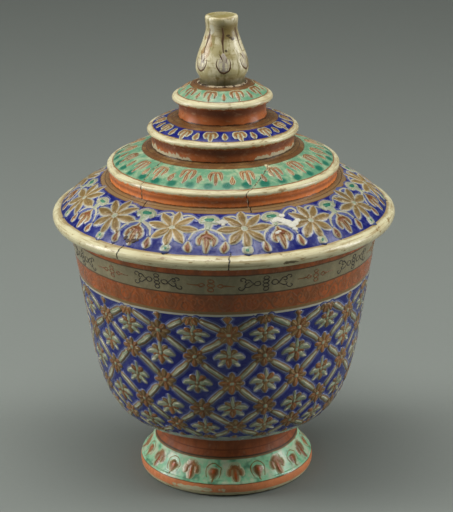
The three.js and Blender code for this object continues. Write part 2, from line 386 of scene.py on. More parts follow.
class Profile:
    """A node's outline, made smooth between its corners and measured along its length."""

    corner_bend = math.radians(45)  # the outline keeps a corner where it bulges by more than this
    crease_bend = math.radians(-19)  # or goes in by more than this
    step = 1.1 * MM
    fewest_steps, most_steps = 2, 6
    known = {}

    def __init__(self, node):
        self.given, self.closed = walked(node)
        count = len(self.given)
        self.corners = {0} if self.closed else {0, count - 1}
        for index in range(count) if self.closed else range(1, count - 1):
            before, here, after = self.around(index)
            way_in, way_out = here - before, after - here
            bend = math.atan2(way_in.x * way_out.y - way_in.y * way_out.x, way_in.dot(way_out))
            if bend > self.corner_bend or bend < self.crease_bend:
                self.corners.add(index)
        self.points, self.sharp, self.marks = [], [], []
        for index in range(count if self.closed else count - 1):
            self.marks.append(len(self.points))
            _, start, end = self.around(index)
            leaving, arriving = self.slope(index, 0), self.slope((index + 1) % count, 1)
            length = (end - start).length
            steps = max(self.fewest_steps, min(self.most_steps, math.ceil(length / self.step)))
            for step in range(steps):
                t = step / steps
                self.points.append(tuple(
                    (2 * t**3 - 3 * t**2 + 1) * start + (t**3 - 2 * t**2 + t) * length * leaving
                    + (3 * t**2 - 2 * t**3) * end + (t**3 - t**2) * length * arriving))
                self.sharp.append(step == 0 and index in self.corners)
        if not self.closed:
            self.marks.append(len(self.points))
            self.points.append(self.given[-1])
            self.sharp.append(True)
        radii, heights = zip(*self.given)
        widest, lowest, highest = max(radii), min(heights), max(heights)
        self.points = [
            (min(radius, widest), min(max(height, lowest), highest)) for radius, height in self.points]
        self.lengths = [0.0]
        for before, here in zip(self.points, self.points[1:]):
            self.lengths.append(self.lengths[-1] + math.dist(before, here))

    @classmethod
    def of(cls, node):
        if node not in cls.known:
            cls.known[node] = cls(node)
        return cls.known[node]

    def around(self, index):
        """A given point between its neighbours."""
        return [Vector(self.given[(index + shift) % len(self.given)]) for shift in (-1, 0, 1)]

    def slope(self, index, ending):
        """The outline's direction at a point: a corner keeps the direction of the stretch asked for."""
        before, here, after = self.around(index)
        if index in self.corners:
            return ((here - before) if ending else (after - here)).normalized()
        return (after - before).normalized()

    def along(self, height):
        """Length along the outline, in mm, to where it climbs past a height in mm on its outside."""
        for index, (low, high) in enumerate(zip(self.points, self.points[1:])):
            if low[1] <= height * MM < high[1]:
                share = (height * MM - low[1]) / (high[1] - low[1])
                return (self.lengths[index] + share * (self.lengths[index + 1] - self.lengths[index])) / MM
        raise ValueError(f"the outline doesn't climb past {height} mm")

    def radius(self, length):
        """Radius in mm at a length in mm along the outline."""
        for index, (before, here) in enumerate(zip(self.lengths, self.lengths[1:])):
            if here >= length * MM:
                share = (length * MM - before) / (here - before)
                low, high = self.points[index][0], self.points[index + 1][0]
                return (low + share * (high - low)) / MM
        raise ValueError(f"the outline is shorter than {length} mm")

    def nearest(self, radius, height):
        """Index of the smooth point made from the given corner nearest to a place in mm."""
        place = (radius * MM, height * MM)
        best = min(range(len(self.given)), key=lambda index: math.dist(self.given[index], place))
        return self.marks[best]


# Skins


# for each solid: its body, the slot of its finish, and the faces round its skin
SOLIDS = {
    "bowl": ("jar", "bowl_enamel", 256), "foot_ring": ("jar", "foot_enamel", 256),
    "lid_flange": ("lid", "flange_glaze", 192), "lid_brim": ("lid", "brim_enamel", 256),
    **{f"lid_{tier}_tier": ("lid", f"{tier}_tier_enamel", 256) for tier in ("lower", "middle", "upper")},
    "knop_bedding": ("lid", "filler", 160), "bud_knop": ("lid", "knop_glaze", 128)}
LINING_SHARE = 0.3  # share of the strip of texture that a lining gets for its length
LEAST_LENGTH = 1e-7  # length that every stretch of the outline counts for at least
STRIP_EDGE = 0.01  # left bare at each end of that strip


def placed(piece, node):
    """Hands a finished piece to the frame, on the node's body."""
    body, usual, _ = SOLIDS[node]
    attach(piece, body)


def linked(name, data):
    made = bpy.data.objects.new(name, data)
    bpy.context.scene.collection.objects.link(made)
    return made


def shown_shares(points):
    """How far along the outline each point's strip of texture starts: linings get a small share."""
    shares = [0.0]
    for before, here in zip(points, points[1:]):
        outside = here[1] > before[1] or before[0] > here[0]
        length = max(math.dist(before, here), LEAST_LENGTH)
        shares.append(shares[-1] + (1 if outside else LINING_SHARE) * length)
    return [share / shares[-1] for share in shares]


def turned_skin(name, node, paint, inside=None, start=None, end=None):
    """A smooth skin in place of the node's faceted solid, painted from start to end, two places in mm."""
    profile, around = Profile.of(node), SOLIDS[node][2]
    rings = profile.points
    points = rings + rings[:1] * profile.closed
    vertices, first = [], []
    for radius, height in rings:
        first.append(len(vertices))
        angles = [2 * math.pi * step / around for step in range(around if radius >= ON_AXIS else 1)]
        vertices += [(radius * math.sin(angle), -radius * math.cos(angle), height) for angle in angles]
    on_axis = [radius < ON_AXIS for radius, _ in rings]
    shares = shown_shares(points)
    faces, places, plain = [], [], []
    begins = profile.nearest(*start) if start else 0
    ends = profile.nearest(*end) if end else len(points)
    half = around // 2
    for low in range(len(points) - 1):
        high = (low + 1) % len(rings)
        for step in range(around):
            side, within = divmod(step, half)
            left, right = within / half, (within + 1) / half
            bottom, top = ((side + STRIP_EDGE + (1 - 2 * STRIP_EDGE) * share) / 2
                           for share in shares[low:low + 2])
            corners = [(low, step, left, bottom)] + [(low, step + 1, right, bottom)] * (not on_axis[low])
            corners += [(high, step + 1, right, top)] * (not on_axis[high]) + [(high, step, left, top)]
            if len(corners) < 3:
                continue
            faces.append([
                first[ring] + (not on_axis[ring]) * (spoke % around) for ring, spoke, _, _ in corners])
            places += [value for _, _, *place in corners for value in place]
            plain.append(not begins <= low < ends)
    mesh = bpy.data.meshes.new(name)
    mesh.from_pydata(vertices, [], faces)
    mesh.uv_layers.new(name="OFBake").data.foreach_set("uv", places)
    mesh.polygons.foreach_set("use_smooth", [True] * len(faces))
    mesh.polygons.foreach_set("material_index", plain)
    ring_of = {}
    for index, base in enumerate(first):
        if not on_axis[index] and profile.sharp[index]:
            ring_of.update({vertex: index for vertex in range(base, base + around)})
    for edge in mesh.edges:
        one, other = edge.vertices
        if one in ring_of and ring_of.get(other) == ring_of[one]:
            edge.use_edge_sharp = True
    mesh.materials.append(paint)
    mesh.materials.append(inside or paint)
    mesh.update()
    skin = linked(name, mesh)
    placed(skin, node)
    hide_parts(node)


# Brushwork, in mm


# how a stroke's width swells from its start to its end
PETAL = (0.35, 0.85, 1, 0.85, 0.3)
BLADE = (0.15, 0.7, 1, 0.8, 0.1)
THREAD = (0.7, 1, 1, 1, 0.7)
DROP = (0.25, 0.6, 1, 1, 0.55)
ROUND = (0.5, 0.95, 1, 0.95, 0.5)

LEAST_HALF = 0.05  # half width of the thinnest stroke
LEAST_FLAT = 0.6  # least share of a stroke's width between the slopes at its edges
EDGE_DEPTH = 0.04  # how far a stroke's edge goes into the glaze
EDGE_WIDTH = 0.14  # how wide the slope at its edge is
SHOULDER = 0.88  # height where that slope begins, as a share of the rise
TIP = 0.75  # reach of a stroke's tip past its last point, as a share of its half width
LANES = 5  # points across a stroke
FEWEST_POINTS, MOST_POINTS = 5, 17  # points along it

Stroke = namedtuple("Stroke", "paint half shape path")


def stroke(paint, half, shape, *path):
    """One stroke: its paint, its half width, how that swells, and the points it passes."""
    return Stroke(paint, half, shape, [Vector(point) for point in path])


def petal(paint, angle, start, end, half, shape=PETAL, squeeze=1):
    """A petal that points out from the middle at an angle in degrees, counted from the right."""
    way = Vector((math.cos(math.radians(angle)), math.sin(math.radians(angle)) * squeeze))
    return stroke(paint, half, shape, way * start, way * (start + end) / 2, way * end)


def dot(paint, x, y, half, tall=None):
    lift = max((tall or half) * 0.55, LEAST_HALF)
    return stroke(paint, half, (0.8, 0.97, 1, 0.97, 0.8), (x, y - lift), (x, y), (x, y + lift))


def ring(paint, y, across, tall, half, x=0):
    angles = [math.radians(45 * step) for step in range(9)]
    path = [(x + across * math.sin(angle), y + tall * math.cos(angle)) for angle in angles]
    return stroke(paint, half, THREAD, *path)


def moved(marks, mirror=1, lift=0):
    return [mark._replace(path=[Vector((mirror * x, y + lift)) for x, y in mark.path]) for mark in marks]


def both_sides(*marks):
    """The strokes and their mirror images."""
    return [*marks, *moved(marks, -1)]


def smooth_path(points, count):
    """Places along a smooth line through the points."""
    points = [2 * points[0] - points[1], *points, 2 * points[-1] - points[-2]]
    stretches = len(points) - 3
    found = []
    for index in range(count):
        whole = min(int(index * stretches / (count - 1)), stretches - 1)
        t = index * stretches / (count - 1) - whole
        a, b, c, d = points[whole:whole + 4]
        found.append(0.5 * (2 * b + (c - a) * t + (2 * a - 5 * b + 4 * c - d) * t**2
                            + (3 * b - a - 3 * c + d) * t**3))
    return found


def brushed(marks, paints, grow, rise):
    """Vertices and faces of the strokes in these paints, widened by grow and raised by rise."""
    vertices, faces = [], []
    for paint, half_width, shape, path in marks:
        if paint not in paints:
            continue
        count = max(FEWEST_POINTS, min(MOST_POINTS, 2 * len(path)))
        middle = smooth_path(path, count)
        begins, tips = len(vertices), []
        for index, point in enumerate(middle):
            way = (middle[min(index + 1, count - 1)] - middle[max(index - 1, 0)]).normalized()
            where = index / (count - 1) * (len(shape) - 1)
            whole = min(int(where), len(shape) - 2)
            swell = shape[whole] + (shape[whole + 1] - shape[whole]) * (where - whole)
            half = max(half_width * swell + grow, LEAST_HALF)
            side = Vector((-way.y, way.x)) * half
            flat = max(LEAST_FLAT, 1 - EDGE_WIDTH / half)
            ups = (-EDGE_DEPTH, SHOULDER * rise, rise, SHOULDER * rise, -EDGE_DEPTH)
            vertices += [(*(point + side * across), up) for across, up in zip((1, flat, 0, -flat, -1), ups)]
            if index in (0, count - 1):
                tips.append((*(point + way * (half * (TIP if index else -TIP))), -EDGE_DEPTH))
        vertices += tips
        last = begins + LANES * (count - 1)
        for low in range(begins, last, LANES):
            for lane in range(LANES):
                beside = (lane + 1) % LANES
                faces.append((low + lane, low + beside, low + LANES + beside, low + LANES + lane))
        for lane in range(LANES):
            beside = (lane + 1) % LANES
            faces.append((begins + beside, begins + lane, len(vertices) - 2))
            faces.append((last + lane, last + beside, len(vertices) - 1))
    return vertices, faces


def motif_collection(name, motifs, paints, grow, rise):
    """One mesh for each motif, in the order in which points pick them."""
    box = bpy.data.collections.new(name)
    bpy.context.scene.collection.children.link(box)
    for index, marks in enumerate(motifs):
        vertices, faces = brushed(marks, paints, grow, rise)
        mesh = bpy.data.meshes.new(f"{name} {index:02d}")
        mesh.from_pydata([tuple(value * MM for value in vertex) for vertex in vertices], [], faces)
        box.objects.link(bpy.data.objects.new(mesh.name, mesh))
    return box


# Enamel wrapped on an outline


ENAMEL_INPUTS = {
    "Points": "Geometry", "Repeats": "Int", "Motifs": "Collection", "Outline": "Object", "Shift": "Float",
    "Lean": "Float", "Swelling": "Float", "Wander": "Float", "Wander Size": "Float", "Strip Start": "Float",
    "Strip End": "Float", "Seed": "Int", "Enamel": "Material"}
TURN_MARGIN = 0.6  # radians of texture past each end of a full turn
STRIP_MARGIN = 14  # mm of texture past the lowest and the highest spot
# how far the repeats of a steady hand differ
SHIFT = 0.25 * MM
LEAN = math.radians(2.5)
SWELLING = 0.05
WANDER_SIZE = 5 * MM  # size of the bends in a painted line
CLOTH_GAP = 0.01  # how far apart the noises of two seeds are
NOISE_SPREAD = 3  # brings a noise's swing about its middle to a full one


def turned_enamel_tree():
    """Repeats flat motifs round the jar and wraps them on an outline: x runs round it and y up it.

    Inside it the turns and tilts are radians."""
    tree = bpy.data.node_groups.get("Turned enamel")
    if tree:
        return tree
    tree = bpy.data.node_groups.new("Turned enamel", "GeometryNodeTree")
    for name, kind in ENAMEL_INPUTS.items():
        tree.interface.new_socket(name, in_out="INPUT", socket_type=f"NodeSocket{kind}")
    tree.interface.new_socket("Enamel", in_out="OUTPUT", socket_type="NodeSocketGeometry")
    bench = Bench(tree)
    group = bench.node("NodeGroupInput")
    ask = {name: group.beside(name) for name in ENAMEL_INPUTS}

    def made(kind, geometry, **sockets):
        return bench.node(f"GeometryNode{kind}", sockets={
            "Geometry": geometry, **{name.replace("_", " "): value for name, value in sockets.items()}})

    def held(name, kind="FLOAT"):
        return bench.node("GeometryNodeInputNamedAttribute", {"data_type": kind}, {"Name": name})

    def kept(geometry, name, value, kind="FLOAT", domain="POINT"):
        return bench.node("GeometryNodeStoreNamedAttribute", {"data_type": kind, "domain": domain},
                          {"Geometry": geometry, "Name": name, "Value": value})

    def chance(stream, spread):
        """A number from -spread to spread for each point."""
        value = bench.node("FunctionNodeRandomValue", {"data_type": "FLOAT"},
                           {2: -1, 3: 1, "Seed": ask["Seed"] + stream}, output=1)
        return value * spread

    def outline_at(length):
        line = bench.node("GeometryNodeObjectInfo", {"transform_space": "ORIGINAL"},
                          {"Object": ask["Outline"]}, output="Geometry")
        return bench.node("GeometryNodeSampleCurve", {"mode": "LENGTH"},
                          {"Curves": line, "Length": length}, output="Position")

    repeats = bench.node("GeometryNodeDuplicateElements", {"domain": "POINT"},
                         {"Geometry": ask["Points"], "Amount": ask["Repeats"]})
    turn = held("turn") + repeats.beside("Duplicate Index") * (2 * math.pi) / ask["Repeats"]
    points = kept(kept(repeats, "turn", turn), "tone", chance(5, 0.5) + 0.5)
    shift = bench.vector(chance(0, ask["Shift"]), chance(1, ask["Shift"]), 0)
    picked = bench.node("GeometryNodeCollectionInfo", sockets={
        "Collection": ask["Motifs"], "Separate Children": True, "Reset Children": True})
    size = 1 + chance(2, ask["Swelling"])
    motifs = bench.node("GeometryNodeInstanceOnPoints", sockets={
        "Points": made("SetPosition", points, Offset=shift), "Instance": picked, "Pick Instance": True,
        "Instance Index": held("pick", "INT"),
        "Rotation": bench.node("FunctionNodeAxisAngleToRotation", sockets={
            "Axis": (0, 0, 1), "Angle": held("tilt") + chance(3, ask["Lean"])}),
        "Scale": bench.scaled(held("size", "FLOAT_VECTOR"), bench.vector(size, size, 1))})
    flat = made("RealizeInstances", motifs)

    x = bench.split(bench.node("GeometryNodeInputPosition"))
    y, lift = x.beside("Y"), x.beside("Z")
    home = held("turn")
    cloth = bench.vector(home * bench.split(outline_at(y)) + x, y, ask["Seed"] * CLOTH_GAP)
    stray = bench.split(bench.node("ShaderNodeTexNoise", sockets={
        "Vector": cloth, "Scale": 1 / ask["Wander Size"], "Detail": 3, "Roughness": 0.6}, output="Color"))
    reach = ask["Wander"] * NOISE_SPREAD
    across = x + (stray - 0.5) * reach
    up = y + (stray.beside("Y") - 0.5) * reach
    there = outline_at(up)
    radius, way = bench.split(there), bench.split(there.beside("Tangent"))
    angle = home + across / radius
    out = radius + way.beside("Z") * lift
    strip = (up - ask["Strip Start"]) / (ask["Strip End"] - ask["Strip Start"])
    share = bench.vector((angle + TURN_MARGIN) / (2 * math.pi + 2 * TURN_MARGIN), strip, 0)
    place = bench.vector(
        out * out.worked("SINE", angle), out * out.worked("COSINE", angle) * -1,
        radius.beside("Z") - way * lift)
    wrapped = made("SetPosition", kept(flat, "OFBake", share, "FLOAT2", "CORNER"), Position=place)
    solid = made("RealizeInstances", made("SetShadeSmooth", wrapped, Shade_Smooth=True))
    bench.node("NodeGroupOutput", sockets={"Enamel": made("SetMaterial", solid, Material=ask["Enamel"])})
    return tree


# where a motif stands in one repeat: its name, turn, mm along the outline, tilt in degrees, and size
Spot = namedtuple("Spot", "motif turn along tilt size", defaults=(0, (1, 1)))


def pattern_points(name, motifs, spots):
    """A mesh with one point for each spot, its turn and tilt in radians."""
    mesh = bpy.data.meshes.new(name)
    mesh.from_pydata([(0, spot.along * MM, 0) for spot in spots], [], [])
    for key, kind, field, values in (
            ("pick", "INT", "value", [list(motifs).index(spot.motif) for spot in spots]),
            ("turn", "FLOAT", "value", [math.radians(spot.turn) for spot in spots]),
            ("tilt", "FLOAT", "value", [math.radians(spot.tilt) for spot in spots]),
            ("size", "FLOAT_VECTOR", "vector", [value for spot in spots for value in (*spot.size, 1)])):
        mesh.attributes.new(key, kind, "POINT").data.foreach_set(field, values)
    return mesh


def outline_curve(profile):
    """The outline as a line in the XZ plane, for the enamel to follow."""
    data = bpy.data.curves.new("outline", "CURVE")
    data.dimensions = "3D"
    line = data.splines.new("POLY")
    line.points.add(len(profile.points) - 1)
    line.points.foreach_set("co", [value for x, z in profile.points for value in (x, 0, z, 1)])
    return linked("outline", data)


def enamelled(region, node, motifs, spots, layers, repeats, seed, loose=1):
    """Paints a region of the node with repeats of the motifs, by a hand that works more or less loosely.

    A layer is its name, its paints, how much wider in mm it lays them, its rise as a share of a full
    stroke's, and then what enamel() asks for."""
    pattern = bpy.context.scene.jar_pattern
    tree = turned_enamel_tree()
    sockets = {item.name: item.identifier for item in tree.interface.items_tree if item.in_out == "INPUT"}
    line = outline_curve(Profile.of(node))
    lengths = [spot.along for spot in spots]
    for layer, paints, grow, rise, *finish in layers:
        name = f"{region}_{layer}"
        box = motif_collection(name, motifs.values(), paints.split(), grow, rise * pattern.rise / MM)
        points = pattern_points(name, motifs, spots)
        piece = linked(name, points)
        wrap = piece.modifiers.new("Turned enamel", "NODES")
        wrap.node_group = tree
        for socket, value in (
                ("Repeats", repeats), ("Motifs", box), ("Outline", line), ("Shift", SHIFT * loose),
                ("Lean", LEAN * loose), ("Swelling", SWELLING * loose),
                ("Wander", pattern.wander * loose), ("Wander Size", WANDER_SIZE),
                ("Strip Start", (min(lengths) - STRIP_MARGIN) * MM),
                ("Strip End", (max(lengths) + STRIP_MARGIN) * MM), ("Seed", seed),
                ("Enamel", enamel(name, *finish))):
            wrap[sockets[socket]] = value
        graph = bpy.context.evaluated_depsgraph_get()
        mesh = bpy.data.meshes.new_from_object(
            piece.evaluated_get(graph), preserve_all_data_layers=True, depsgraph=graph)
        piece.modifiers.clear()
        piece.data = mesh
        for key in ("turn", "pick", "tilt", "size"):
            if key in mesh.attributes:
                mesh.attributes.remove(mesh.attributes[key])
        for scratch in list(box.objects):
            bpy.data.meshes.remove(scratch.data)
        bpy.data.collections.remove(box)
        bpy.data.meshes.remove(points)
        mesh.name = name
        if not mesh.polygons:
            raise RuntimeError(f"{name} came out empty")
        placed(piece, node)
    bpy.data.curves.remove(line.data)


# Finishes, with heights and sizes in mm


def enamel(name, colour, deep, gloss=0.3, metallic=0, mottle=3, wear=0, worn=None):
    """Thick enamel: thin at some strokes and pooled at others, finely pitted, and worn in spots.

    Deep is its colour where it pools, or a share of the first."""
    coat = Coat(name, metallic=metallic)
    tone = coat.node("ShaderNodeAttribute", {"attribute_name": "tone"}, output="Fac")
    cloud = coat.noise(mottle, 3, 0.6)
    deep = deep if isinstance(deep, Colour) else colour.times(deep)
    mix = coat.mix(coat.grade(cloud * 0.7 + tone * 0.3, 0.3, 0.7), deep, colour)
    if wear:
        mix = coat.mix(coat.blots(0.62 - wear, 0.7 - wear * 0.5, 1.6, 4, 0.65) * 0.8, mix, worn)
    return coat.finish(mix, coat.uneven(cloud, gloss * 0.8, gloss * 1.35), coat.noise(0.7) * 0.05)


# What enamel() is given for each kind of paint: PLAIN goes after a colour, and the others hold their own


PLAIN = (0.7, 0.22)


def gilded(colour):
    return colour, 0.6, 0.34, 0.1, 3, 0.06, colour.to(hues().cream, 0.4)


def reddened(hue):
    red = hue.iron_red.to(hue.gilt, 0.22)
    return red, 0.55, 0.3, 0, 2.5, 0.05, red.to(hue.gilt, 0.6)


def paled(hue):
    deep = hue.celadon.to(hue.leaf_green, 0.3).times(0.8)
    return hue.celadon, deep, 0.22, 0, 4, 0.08, hue.celadon.to(hue.cream, 0.8)


def lining(name):
    """The plain glaze inside."""
    coat = Coat(name)
    hue, cloud = coat.hue, coat.noise(14, 4)
    colour = coat.mix(coat.grade(cloud, 0.4, 0.7) * 0.6, hue.cream, hue.cream.to(hue.stain, 0.35))
    colour = coat.mix(coat.blots(0.72, 0.8, 0.9) * 0.5, colour, hue.stain)
    return coat.finish(colour, coat.uneven(cloud, 0.25, 0.42), cloud * 0.1)


def bowl_paint():
    coat = Coat("bowl_paint")
    hue = coat.hue
    orange = coat.mix(coat.blots(0.35, 0.7, 5, 3) * 0.5, coat.orange_wash(), hue.umber)
    buff, line = hue.cream.to(hue.stain, 0.4), hue.umber.to(hue.ink, 0.3)
    colour = coat.zones(coat.strayed(coat.height, 0.5, 9), hue.celadon.to(hue.cobalt_pale, 0.4), (
        (32.4, coat.ground(hue.cobalt, hue.cobalt.to(hue.cobalt_pale, 0.3))),
        (92.3, hue.cream.to(hue.halo, 0.4)), (93.2, hue.umber.to(hue.gilt, 0.5)), (94.5, orange), (102, line),
        (102.6, coat.ground(buff.times(0.5), buff.times(0.72), 6)), (110.5, line), (111, orange),
        (114.75, coat.rim_cream())))
    cloud = coat.noise(6, 3)
    return coat.finish(colour, coat.uneven(cloud, 0.14, 0.3), cloud * 0.12)


def foot_paint():
    coat = Coat("foot_paint")
    hue, wobble = coat.hue, coat.strayed(coat.height, 0.5, 7)
    pale, dark = hue.cream.to(hue.white, 0.15), hue.orange.times(0.4)
    turquoise = hue.leaf_green.to(hue.pool_green, 0.25).times(2.1)
    green, clouds = coat.ground(turquoise, turquoise.to(pale, 0.85), 5), coat.noise(4.6)
    green = coat.mix(coat.grade(clouds, 0.34, 0.5, 0.75, 0), green, turquoise.to(pale, 0.8))
    green = coat.mix(coat.grade(clouds, 0.52, 0.68) * 0.8, green, hue.pool_green.to(hue.leaf_green, 0.45))
    orange, cream = coat.orange_wash(), coat.rim_cream()
    worn = coat.blots(0.66, 0.72, 6, 4, 0.6, (0.4, 0.4, 1.2))
    worn = coat.most((worn, coat.patch(-22, 3.4, 12, 1.1, 0.5, 3)))
    base = coat.mix(worn, coat.mix(0.5, orange, hue.orange.to(hue.cream, 0.2).times(1.8)), cream)
    neck = coat.mix(0.3, orange, hue.umber.times(0.5))
    # painted shade: the neck grows darker towards its top, under the bowl
    neck = coat.mix(coat.grade(coat.height, 18.5, 24) * 0.7, neck, dark)
    neck = coat.mix(coat.band(coat.height, 18.2, 18.7, 0.12), neck, dark)
    colour = coat.zones(wobble, hue.cream.times(0.6), (
        (0.5, cream), (2.3, base), (5.7, hue.umber), (6, green), (14.8, hue.umber.to(hue.gilt, 0.4)),
        (15.4, hue.umber.times(0.5)), (15.9, neck)))
    cloud = coat.noise(5, 3)
    rough = coat.uneven(cloud, 0.16, 0.32) + coat.grade(wobble, 0.5, 4, 0.5, 0)
    return coat.finish(colour, rough + coat.grade(wobble, 13.6, 15, 0, 0.42), cloud * 0.12)


def brim_paint():
    coat = Coat("brim_paint")
    hue = coat.hue
    cobalt = coat.ground(hue.cobalt.to(hue.ink, 0.25), hue.cobalt.to(hue.cobalt_pale, 0.45), 4.5)
    cobalt = coat.mix(coat.blots(0.5, 0.72, 2.2, 3, 0.6) * 0.35, cobalt, hue.cobalt_pale.to(hue.halo, 0.15))
    colour = coat.zones(coat.strayed(coat.height, 0.4, 9), hue.cream.to(hue.stain, 0.3), (
        (115.1, coat.rim_cream()), (120.4, hue.cream.to(hue.stain, 0.8)), (120.65, cobalt)))
    colour = coat.roof_band(colour, 52, 126, 0.4)
    chip = coat.patch(21.3, 117.2, 3.4, 0.7, 0.4, 1.6)
    colour = coat.mix(chip * 0.85, colour, hue.stain.to(hue.ink, 0.75))
    cracks = coat.most(coat.crack(*place) for place in (
        (-36, 73, 0, 115, 121), (1.3, 73, 0.2, 115, 121.5), (12, 52, 0.3, 129.5, 134),
        (-39, 52, -0.3, 128.5, 134)))
    cloud = coat.noise(5, 3)
    return coat.finish(
        coat.mix(cracks, colour, hue.ink), coat.uneven(cloud, 0.14, 0.3), cloud * 0.12 - cracks * 0.3)


# heights of each storey's seat, of its bead and of its roof's foot, and the radius of the band on its roof
STOREYS = {
    "lower": (133.5, 138, 140.5, 34.1), "middle": (147.1, 153.2, 155.7, 23.1),
    "upper": (159.6, 166.9, 169.5, 13.4)}


def tier_paint(tier, thick, thin, line, shine, lit_brightness=1, cove_shade=0.75, shade_span=(0.52, 0.06), root_tone=0.2, pools=0,
               bare=None, cracks=(), flakes=()):
    """A storey, with its roof washed in two tones from a line up.

    Painted shade darkens a band in the riser's cove, between two shares of the riser down from the bead.
    Pools is how many there are round the roof. Plaster shows at the riser's root, past so many bare degrees
    from the front."""
    coat, (seat, bead, roof, band) = Coat(f"{tier}_tier_paint"), STOREYS[tier]
    hue, height, riser = coat.hue, coat.height, bead - seat
    # painted light: the riser's orange is made brighter by a factor that differs from tier to tier
    orange = coat.mix(0.5, coat.orange_wash(), hue.orange.to(hue.gilt, 0.25).times(lit_brightness))
    # painted shade: a dark band in the riser's cove, some way down from the bead
    low, high = (bead - riser * share for share in shade_span)
    shaded = coat.band(coat.strayed(height, 1, 8), low, high, riser * 0.18)
    orange = coat.mix(shaded * cove_shade, orange, hue.orange.times(0.22))
    # pale streaks on the riser: partly rubbed wear, partly painted highlight
    rubbed_and_sheen = coat.blots(0.56, 0.68, 1.8, 4, 0.65, (0.5, 0.5, 1.4))
    orange = coat.mix(rubbed_and_sheen * 0.35, orange, hue.orange.to(hue.cream, 0.45))
    root = coat.noise(3, 4, 0.65, (1, 1, 0.5))
    if bare:
        where = coat.grade(abs(coat.turn), bare, bare + 9)
        plaster = coat.grade(height - root * 6.5 * where, seat - 1.6, seat - 1.3, 1, 0)
        orange = coat.mix(plaster, orange, hue.cream.to(hue.filler, 0.35))
    # darker umber at the riser's root
    darker_root = coat.grade(height - root * 1.4, seat - 0.4, seat - 0.1, 0.9, 0)
    orange = coat.mix(darker_root, orange, hue.umber.times(root_tone))
    washed = coat.ground(thick, thin, 4.5)
    if pools:
        around = (coat.turn - 2) * (math.pi / 180 * pools)
        spots = around.worked("COSINE", around) * 0.5 + 0.5
        pooled = coat.strayed(spots * coat.band(height, roof + 0.5, roof + 2.2, 0.8), 0.8, 5, 3)
        washed = coat.mix(coat.grade(pooled, 0.15, 0.8) * 0.95, washed, hue.pool_green)
    bleed = coat.grade(coat.strayed(height, 3.2, 1.6, 4, 0.7, (1, 1, 0.6)), bead + 0.1, bead + 0.8)
    colour = coat.zones(coat.strayed(height, 0.4, 6), coat.mix(bleed, orange, coat.rim_cream()), (
        (roof + 0.05, line), (roof + 0.3, washed)), 0.1)
    colour = coat.roof_band(colour, band, roof + 1)
    for flake in flakes:
        colour = coat.mix(coat.patch(*flake), colour, hue.cream.to(hue.stain, 0.15))
    dirt = coat.mix(coat.blots(0.42, 0.6, 1.4), hue.ink.to(hue.umber, 0.2), hue.stain.to(hue.cream, 0.4))
    cloud = coat.noise(4, 3)
    bump = cloud * 0.12
    for crack in cracks:
        split = coat.crack(*crack)
        colour = coat.mix(split, colour, dirt)
        bump = bump - split * 0.3
    return coat.finish(colour, coat.uneven(cloud, shine, shine + 0.16), bump)


def knop_paint():
    coat = Coat("knop_paint")
    hue, height = coat.hue, coat.height
    cloud, streak = coat.noise(7, 4, 0.6), coat.noise(2.4, 4, 0.6, (1, 1, 0.2))
    # olive brown round the neck, strongest to the right: painted shadow with some stain
    neck = coat.band(height + (cloud - 0.5) * 5, 193.5, 200, 1.4)
    shadow = coat.grade(abs(coat.turn - 30), 26, 60, 1, 0.35)
    top = coat.grade(height, 201.9, 202.1) * coat.grade(coat.radius, 5, 5.7, 1, 0)
    black = hue.umber.to(hue.ink, 0.7)
    spots = [(coat.patch(*place, 0.3, 1.2), 0.85, black) for place in (
        (22, 194.9, 0.9, 0.5), (29, 194.1, 0.9, 0.4), (37, 193.4, 1.1, 0.6), (11, 189, 0.6, 0.6))]
    pale, stained = hue.ivory.to(hue.white, 0.12), hue.ivory.to(hue.olive, 0.45)
    colour = coat.mix(coat.grade(cloud, 0.42, 0.6), pale, stained)
    for mask, share, paint in (
            (coat.grade(streak, 0.52, 0.64), 0.75, hue.olive),
            (coat.blots(0.54, 0.66, 1.4, 3, 0.6, (0.15, 0.15, 1.2)), 0.6, hue.stain.to(hue.olive, 0.4)),
            (neck * shadow, 0.9, hue.olive.to(hue.umber, 0.4)), *spots,
            (coat.patch(-50, 191, 1.8, 6.5, 1, 3), 0.5, hue.stain.to(hue.orange, 0.25)),
            # a pale patch on the left of the knop: painted highlight
            (coat.patch(-38, 197.4, 1.2, 2.2, 0.3, 2), 0.8, hue.halo.to(hue.cream, 0.7)),
            (top, 0.7, hue.olive),
            # dark olive round the foot of the bud, where it curves in: painted shadow
            (coat.grade(height + (streak - 0.5) * 3, 175, 178.4, 0.9, 0), 1, hue.olive.to(hue.ink, 0.7))):
        colour = coat.mix(mask * share, colour, paint)
    return coat.finish(colour, coat.uneven(cloud, 0.2, 0.38), cloud * 0.25)


def filler_paint():
    coat = Coat("filler_paint", 0.7)
    hue, lumps = coat.hue, coat.noise(2.6, 4, 0.65)
    colour = coat.mix(coat.grade(lumps, 0.4, 0.6), hue.umber.times(0.25), hue.filler.to(hue.cream, 0.5))
    colour = coat.mix(coat.blots(0.58, 0.66, 4, 3) * 0.7, colour, hue.filler.to(hue.orange, 0.4))
    return coat.finish(colour, bump=lumps * 0.6)


# Motifs, in mm


def rosette():
    """A crossing's flower of eight petals."""
    reach, marks = 4.9, []
    for step in range(8):
        paint = "red" if step in (1, 4, 6) else "gilt"
        marks.append(petal(paint, 45 * step, 1.2, reach - 0.5 * (step % 2), 1.25, (0.45, 0.85, 1, 0.95, 0.4)))
        marks.append(petal("glint", 45 * step, 1.9, reach * 0.8, 0.2, THREAD))
    return marks + [dot("red", 0, 0, 1.6), dot("heart", 0, 0, 0.95, 1.25)]


def half_rosette(sign):
    """The half of a crossing's flower at the edge of the lattice: the upper one for 1, the lower for -1."""
    return [
        *(petal("red" if step % 2 else "gilt", sign * (28 + 31 * step), 1, 4, 1.15) for step in range(5)),
        *(petal("glint", sign * angle, 1.8, 3.3, 0.18, THREAD) for angle in (59, 90, 121)),
        dot("gilt", 0, sign * 0.9, 1.5, 0.8)]


